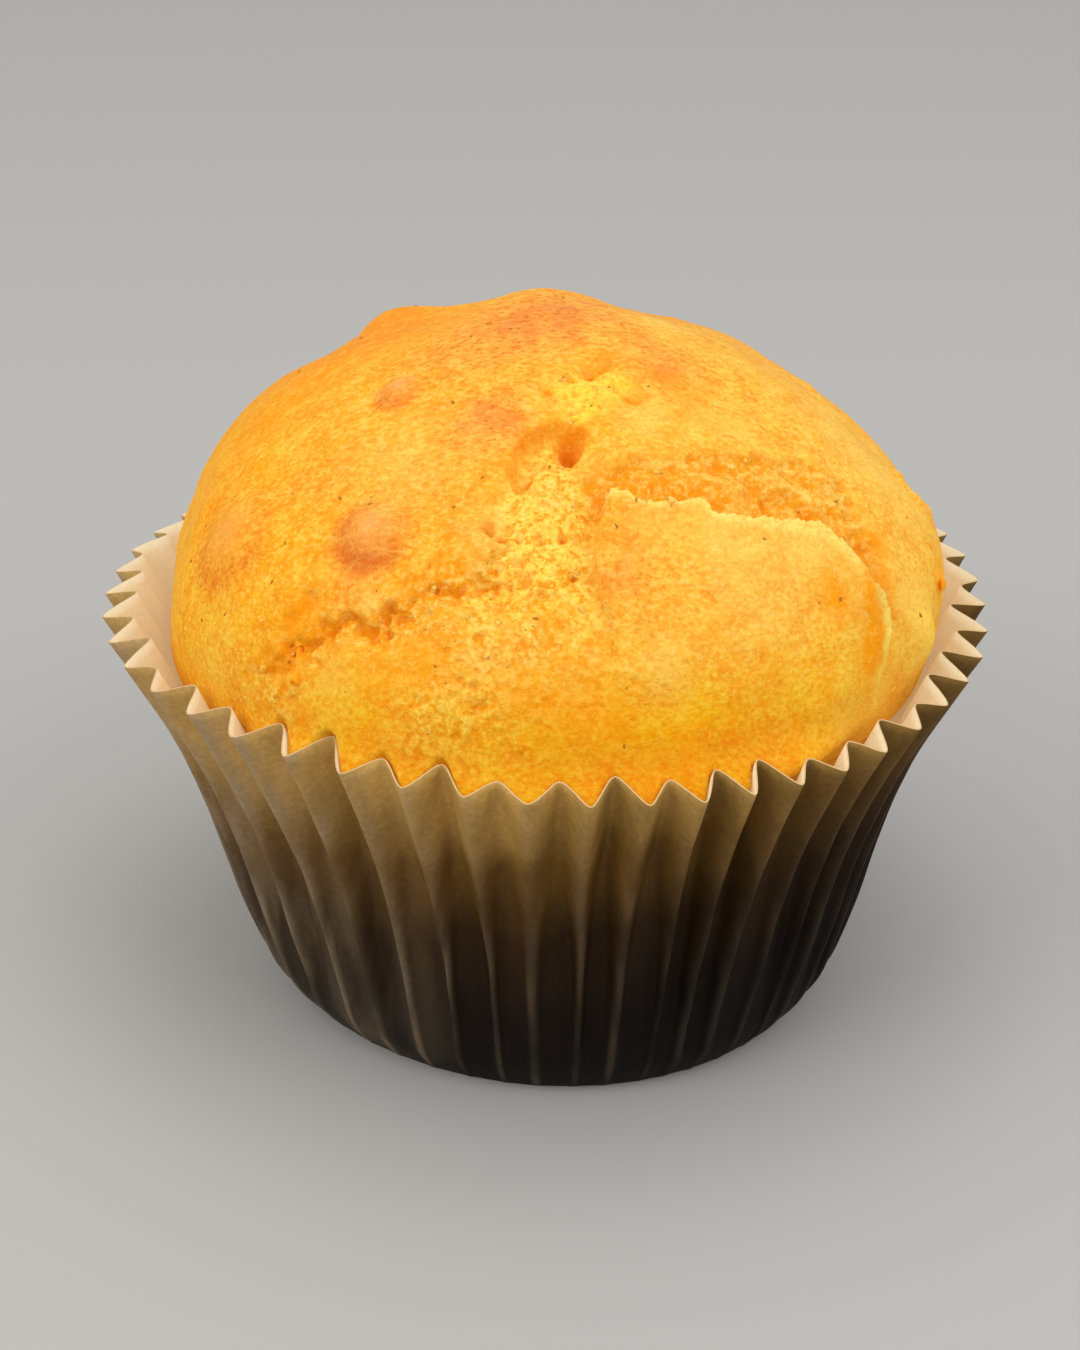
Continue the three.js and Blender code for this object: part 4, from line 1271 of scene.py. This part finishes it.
crumb_batter, tree, place = start_material("loose_baked_crumb")
lumps = cloudy(tree, place, 0.6, Detail=3.0)
tint = ramp(tree, lumps, 0.35, 0.65)
coloured = mixed(tree, tint, linear("#fcb83c"), linear("#ffd268"))
bump = add(tree, "ShaderNodeBump", {"Strength": 0.6, "Distance": 0.08 * MM, "Height": lumps})
surface = {"Base Color": coloured, "Normal": bump, "Roughness": 0.7, "IOR": 1.45, "Specular IOR Level": 0.1}
end_material(tree, surface)


def roughened(tree, size, instances):
    """Instances made real and pushed out of shape by one noise, so that no two stay alike."""
    real = add(tree, "GeometryNodeRealizeInstances", [instances])
    return jolted(tree, real, size["Lump length"], size["Raggedness"], 1.0)


def ragged_lumps(tree, size, points, scale, rotation=None):
    """Small ragged lumps set on points, each turned by chance where no rotation is given."""
    turns = {"Max": (math.tau, math.tau, math.tau), "Seed": size["Seed"]}
    any_turn = add(tree, "FunctionNodeRandomValue", turns, data_type="FLOAT_VECTOR")
    lump = add(tree, "GeometryNodeMeshUVSphere", {"Segments": 8, "Rings": 5, "Radius": 1.0})
    placing = {"Points": points, "Instance": lump, "Rotation": rotation or any_turn, "Scale": scale}
    return roughened(tree, size, add(tree, "GeometryNodeInstanceOnPoints", placing))


def make_crumb_tree():
    """Crumbs strewn over the crust as thickly as its litter attribute says."""
    tree, group = start_tree("loose_crumbs", CRUMB_SIZES)
    size = group.outputs
    litter = add(tree, "GeometryNodeInputNamedAttribute", {"Name": "litter"}).outputs["Attribute"]
    density = times(tree, litter, size["Crumbs per square metre"])
    strewing = {"Mesh": size["Geometry"], "Density": density, "Seed": size["Seed"]}
    strewn = add(tree, "GeometryNodeDistributePointsOnFaces", strewing)
    inwards = times(tree, size["Sunk"], -1.0)
    sunk = scaled(tree, strewn.outputs["Normal"], inwards)
    points = add(tree, "GeometryNodeSetPosition", {"Geometry": strewn.outputs["Points"], "Offset": sunk})
    scale = random_between(tree, size["Smallest"], size["Largest"], Seed=size["Seed"])
    end_tree(tree, ragged_lumps(tree, size, points, scale), crumb_batter)
    return tree


loose_crumbs = grow("loose_crumbs", make_crumb_tree(), CRUMB_SIZES, muffin.data)
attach(loose_crumbs, "root")


# ---- Carrot shreds ----
# Raw carrot grated into the batter: bent, flattened strips that taper to both ends. A few lie just under the
# crust and show where it is thin, as low orange ridges.
SHRED_SIZES = {
    "Length": 5.0 * MM,
    "Width": 1.6 * MM,
    "Thickness": 0.8 * MM,
    "Bend": 40.0,  # degrees over its length
    "Taper": 0.45,  # share of the middle's width that is left at the ends
    "Sunk": 0.4 * MM,
    "Raggedness": 0.25 * MM,
    "Lump length": 1.2 * MM,
    "Seed": 5,
}
SHRED_SPOTS = [  # x, y, turn in degrees, size
    (30.2, -26.6, -70, 0.7), (39.9, -10.0, 80, 0.7), (-22.8, -29.0, 60, 0.7), (-24.6, -31.8, 35, 0.7),
    (-10.9, -35.7, 15, 0.6), (13.5, -41.5, 30, 0.7), (12.0, 14.5, 50, 0.9), (-6.5, 27.0, 10, 1.0),
    (25.0, 20.0, 120, 0.9), (-24.0, 21.5, 65, 1.0), (-36.5, 5.0, 100, 0.8), (8.0, 36.0, 170, 0.9),
    (36.0, 16.0, 140, 0.8), (-18.0, 35.0, 40, 0.9),
]

grated_carrot, tree, place = start_material("grated_carrot")
grain = cloudy(tree, place, 0.8, Detail=3.0)
tint = ramp(tree, grain, 0.35, 0.65)
coloured = mixed(tree, tint, linear("#ff9e08"), linear("#ffb022"))
bump = add(tree, "ShaderNodeBump", {"Strength": 0.5, "Distance": 0.06 * MM, "Height": grain})
surface = {"Base Color": coloured, "Normal": bump, "Roughness": 0.5, "IOR": 1.45, "Specular IOR Level": 0.15}
end_material(tree, surface)

crust_finder = BVHTree.FromObject(muffin, bpy.context.evaluated_depsgraph_get())


def points_on_crust(name, spots):
    """A mesh of loose points at these places on the sculpted crust, each with its outward direction."""
    spots = np.array(spots)
    plain, normals = crust_spot(np.arctan2(spots[:, 1], spots[:, 0]), np.hypot(spots[:, 0], spots[:, 1]))
    found = []
    for start, outward in zip(plain * MM, normals):
        outward = Vector(outward)
        found.append(crust_finder.ray_cast(Vector(start) + outward * 5 * MM, -outward)[:2])
    mesh = bpy.data.meshes.new(name)
    mesh.from_pydata([point for point, _ in found], [], [])
    facing = mesh.attributes.new("outward", "FLOAT_VECTOR", "POINT")
    facing.data.foreach_set("vector", [part for _, normal in found for part in normal])
    return mesh


def set_on_crust(tree, outward, turn):
    """A rotation that lays a thing flat on the crust and then turns it there."""
    flat = add(tree, "FunctionNodeAlignRotationToVector", {"Vector": outward}, axis="Z")
    spin = add(tree, "ShaderNodeCombineXYZ", [0.0, 0.0, turn])
    turned = {"Rotation": flat, "Rotate By": spin}
    return add(tree, "FunctionNodeRotateRotation", turned, rotation_space="LOCAL")


def stored(tree, name, kind):
    """A value kept on each point under this name."""
    return add(tree, "GeometryNodeInputNamedAttribute", {"Name": name}, data_type=kind).outputs["Attribute"]


def make_shred_tree():
    """Bent tapering strips, each sunk into the crust at its point and pushed a little out of shape."""
    tree, group = start_tree("carrot_shreds", SHRED_SIZES)
    size = group.outputs
    bend = add(tree, "RADIANS", [size["Bend"]])
    radius = add(tree, "DIVIDE", [size["Length"], bend])
    start = add(tree, "SUBTRACT", [math.pi / 2, times(tree, bend, 0.5)])
    arc = {"Resolution": 9, "Radius": radius, "Start Angle": start, "Sweep Angle": bend}
    strip = add(tree, "GeometryNodeCurveArc", arc)
    along = add(tree, "GeometryNodeSplineParameter").outputs["Factor"]
    swell = add(tree, "SINE", [times(tree, along, math.pi)])
    width = add(tree, "ShaderNodeMix", [swell, size["Taper"], 1.0])
    tapered = add(tree, "GeometryNodeSetCurveRadius", {"Curve": strip, "Radius": width})
    section = add(tree, "GeometryNodeCurvePrimitiveCircle", {"Resolution": 10, "Radius": 0.5})
    flatness = add(tree, "ShaderNodeCombineXYZ", [size["Width"], size["Thickness"], 1.0])
    flattened = add(tree, "GeometryNodeTransform", {"Geometry": section, "Scale": flatness})
    sweep = {"Curve": tapered, "Profile Curve": flattened, "Fill Caps": True}
    shred = add(tree, "GeometryNodeCurveToMesh", sweep)
    to_middle = add(tree, "ShaderNodeCombineXYZ", [0.0, times(tree, radius, -1.0), 0.0])
    centred = add(tree, "GeometryNodeTransform", {"Geometry": shred, "Translation": to_middle})
    outward = stored(tree, "outward", "FLOAT_VECTOR")
    inwards = times(tree, size["Sunk"], -1.0)
    sunk = scaled(tree, outward, inwards)
    points = add(tree, "GeometryNodeSetPosition", {"Geometry": size["Geometry"], "Offset": sunk})
    turn = set_on_crust(tree, outward, stored(tree, "turn", "FLOAT"))
    scale = stored(tree, "size", "FLOAT")
    placing = {"Points": points, "Instance": centred, "Rotation": turn, "Scale": scale}
    placed = add(tree, "GeometryNodeInstanceOnPoints", placing)
    end_tree(tree, roughened(tree, size, placed), grated_carrot)
    return tree


shred_points = points_on_crust("carrot_shred_points", [(x, y) for x, y, _, _ in SHRED_SPOTS])
for name, values in [
    ("turn", [math.radians(turn) for _, _, turn, _ in SHRED_SPOTS]),
    ("size", [size for _, _, _, size in SHRED_SPOTS]),
]:
    shred_points.attributes.new(name, "FLOAT", "POINT").data.foreach_set("value", values)
carrot_shreds = grow("carrot_shreds", make_shred_tree(), SHRED_SIZES, shred_points)
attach(carrot_shreds, "root")


# ---- Spice flecks ----
# Ground nutmeg and cinnamon, stirred into the batter: brown flecks up to half a millimetre long. They are
# baked fast and lie flat in the crust.
FLECK_SIZES = {
    "Longest": 0.26 * MM,  # half lengths
    "Shortest": 0.09 * MM,
    "Width share": 0.6,
    "Thickness share": 0.35,
    "Raggedness": 0.1 * MM,
    "Lump length": 0.3 * MM,
    "Seed": 11,
}
FLECK_SPOTS = [  # x, y
    (-24.3, -24.7), (-10.1, -36.4), (-33.9, -15.1), (-1.2, -33.6), (-17.4, -20.0), (-7.8, -12.8),
    (-31.5, -13.0), (-14.7, -21.0), (-34.0, -21.7), (-22.7, -22.0), (6.7, -24.3), (17.3, -24.7),
    (19.5, -24.1), (26.3, -21.3), (25.1, -26.0), (23.3, -27.2), (22.2, -17.7), (7.2, -42.9), (6.8, -38.4),
]
STRAY_FLECKS = 45

ground_spice, tree, place = start_material("ground_spice")
shades = cloudy(tree, place, 1.5, Detail=2.0)
coloured = mixed(tree, shades, linear("#b0681c"), linear("#d08a34"))
end_material(tree, {"Base Color": coloured, "Roughness": 0.8, "IOR": 1.45, "Specular IOR Level": 0.1})


def make_fleck_tree():
    """Flat flecks lying along the crust."""
    tree, group = start_tree("spice_flecks", FLECK_SIZES)
    size = group.outputs
    spin = random_between(tree, 0.0, math.tau, Seed=size["Seed"])
    turned = set_on_crust(tree, stored(tree, "outward", "FLOAT_VECTOR"), spin)
    length = random_between(tree, size["Shortest"], size["Longest"], Seed=size["Seed"])
    width = times(tree, length, size["Width share"])
    depth = times(tree, length, size["Thickness share"])
    scale = add(tree, "ShaderNodeCombineXYZ", [length, width, depth])
    end_tree(tree, ragged_lumps(tree, size, size["Geometry"], scale, turned), ground_spice)
    return tree


rng = np.random.default_rng(21)
stray_turn = rng.uniform(0, 2 * np.pi, STRAY_FLECKS)
stray_down = (CROWN_LENGTH - 1) * np.sqrt(rng.uniform(0, 1, STRAY_FLECKS))
stray_spots = np.column_stack([stray_down * np.cos(stray_turn), stray_down * np.sin(stray_turn)])
fleck_points = points_on_crust("spice_fleck_points", [*FLECK_SPOTS, *stray_spots])
spice_flecks = grow("spice_flecks", make_fleck_tree(), FLECK_SIZES, fleck_points)
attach(spice_flecks, "root")


# ---- Floor, light and camera ----
# A plain pale floor, large soft lights at the front left, at the front right and overhead, weak ones at both
# sides, and an even pale sky.
FLOOR_HALF = 3.0
FLOOR_DROP = 0.05 * MM
MUFFIN_MIDDLE = Vector((0, 0, 40 * MM))
SKY_STRENGTH = 0.64
floor_mesh = bpy.data.meshes.new("floor")
corners = [(-1, -1), (1, -1), (1, 1), (-1, 1)]
corners = [(x * FLOOR_HALF, y * FLOOR_HALF, -FLOOR_DROP) for x, y in corners]
floor_mesh.from_pydata(corners, [], [(0, 1, 2, 3)])
floor = bpy.data.objects.new("floor", floor_mesh)
bpy.context.scene.collection.objects.link(floor)
pale_floor, tree, _ = start_material("pale_floor")
end_material(tree, {"Base Color": linear("#b9b7b3"), "Roughness": 0.9})
floor_mesh.materials.append(pale_floor)


def soft_light(name, position, size, power):
    """A square soft light that faces the middle of the muffin, with its power in watts."""
    lamp = bpy.data.lights.new(name, "AREA")
    lamp.size = size
    lamp.energy = power
    light = bpy.data.objects.new(name, lamp)
    light.location = position
    light.rotation_euler = (MUFFIN_MIDDLE - Vector(position)).to_track_quat("-Z", "Y").to_euler()
    bpy.context.scene.collection.objects.link(light)


soft_light("key_light", (-0.38, -0.34, 0.36), 0.35, 0.95)
soft_light("fill_light", (0.36, -0.30, 0.40), 0.4, 0.9)
soft_light("top_light", (0.04, -0.02, 0.70), 0.4, 0.9)
soft_light("left_light", (-0.55, -0.05, 0.20), 0.3, 0.25)
soft_light("right_light", (0.55, -0.05, 0.20), 0.3, 0.15)
world = bpy.data.worlds.new("studio")
bpy.context.scene.world = world
world.use_nodes = True
sky = world.node_tree.nodes["Background"].inputs
sky["Color"].default_value = linear("#ffffff")
sky["Strength"].default_value = SKY_STRENGTH
bpy.context.scene.view_settings.view_transform = "Standard"

CAMERA_DOWNWARD = 0.464  # radians below the level
CAMERA_TURN = 0.002

camera_data = bpy.data.cameras.new("camera")
camera_data.sensor_width = 36.0
camera_data.lens = 69.47
camera = bpy.data.objects.new("camera", camera_data)
camera.location = (-0.824 * MM, -204.845 * MM, 129.161 * MM)
camera.rotation_euler = Euler((math.pi / 2 - CAMERA_DOWNWARD, 0.0, CAMERA_TURN))
bpy.context.scene.collection.objects.link(camera)
bpy.context.scene.camera = camera
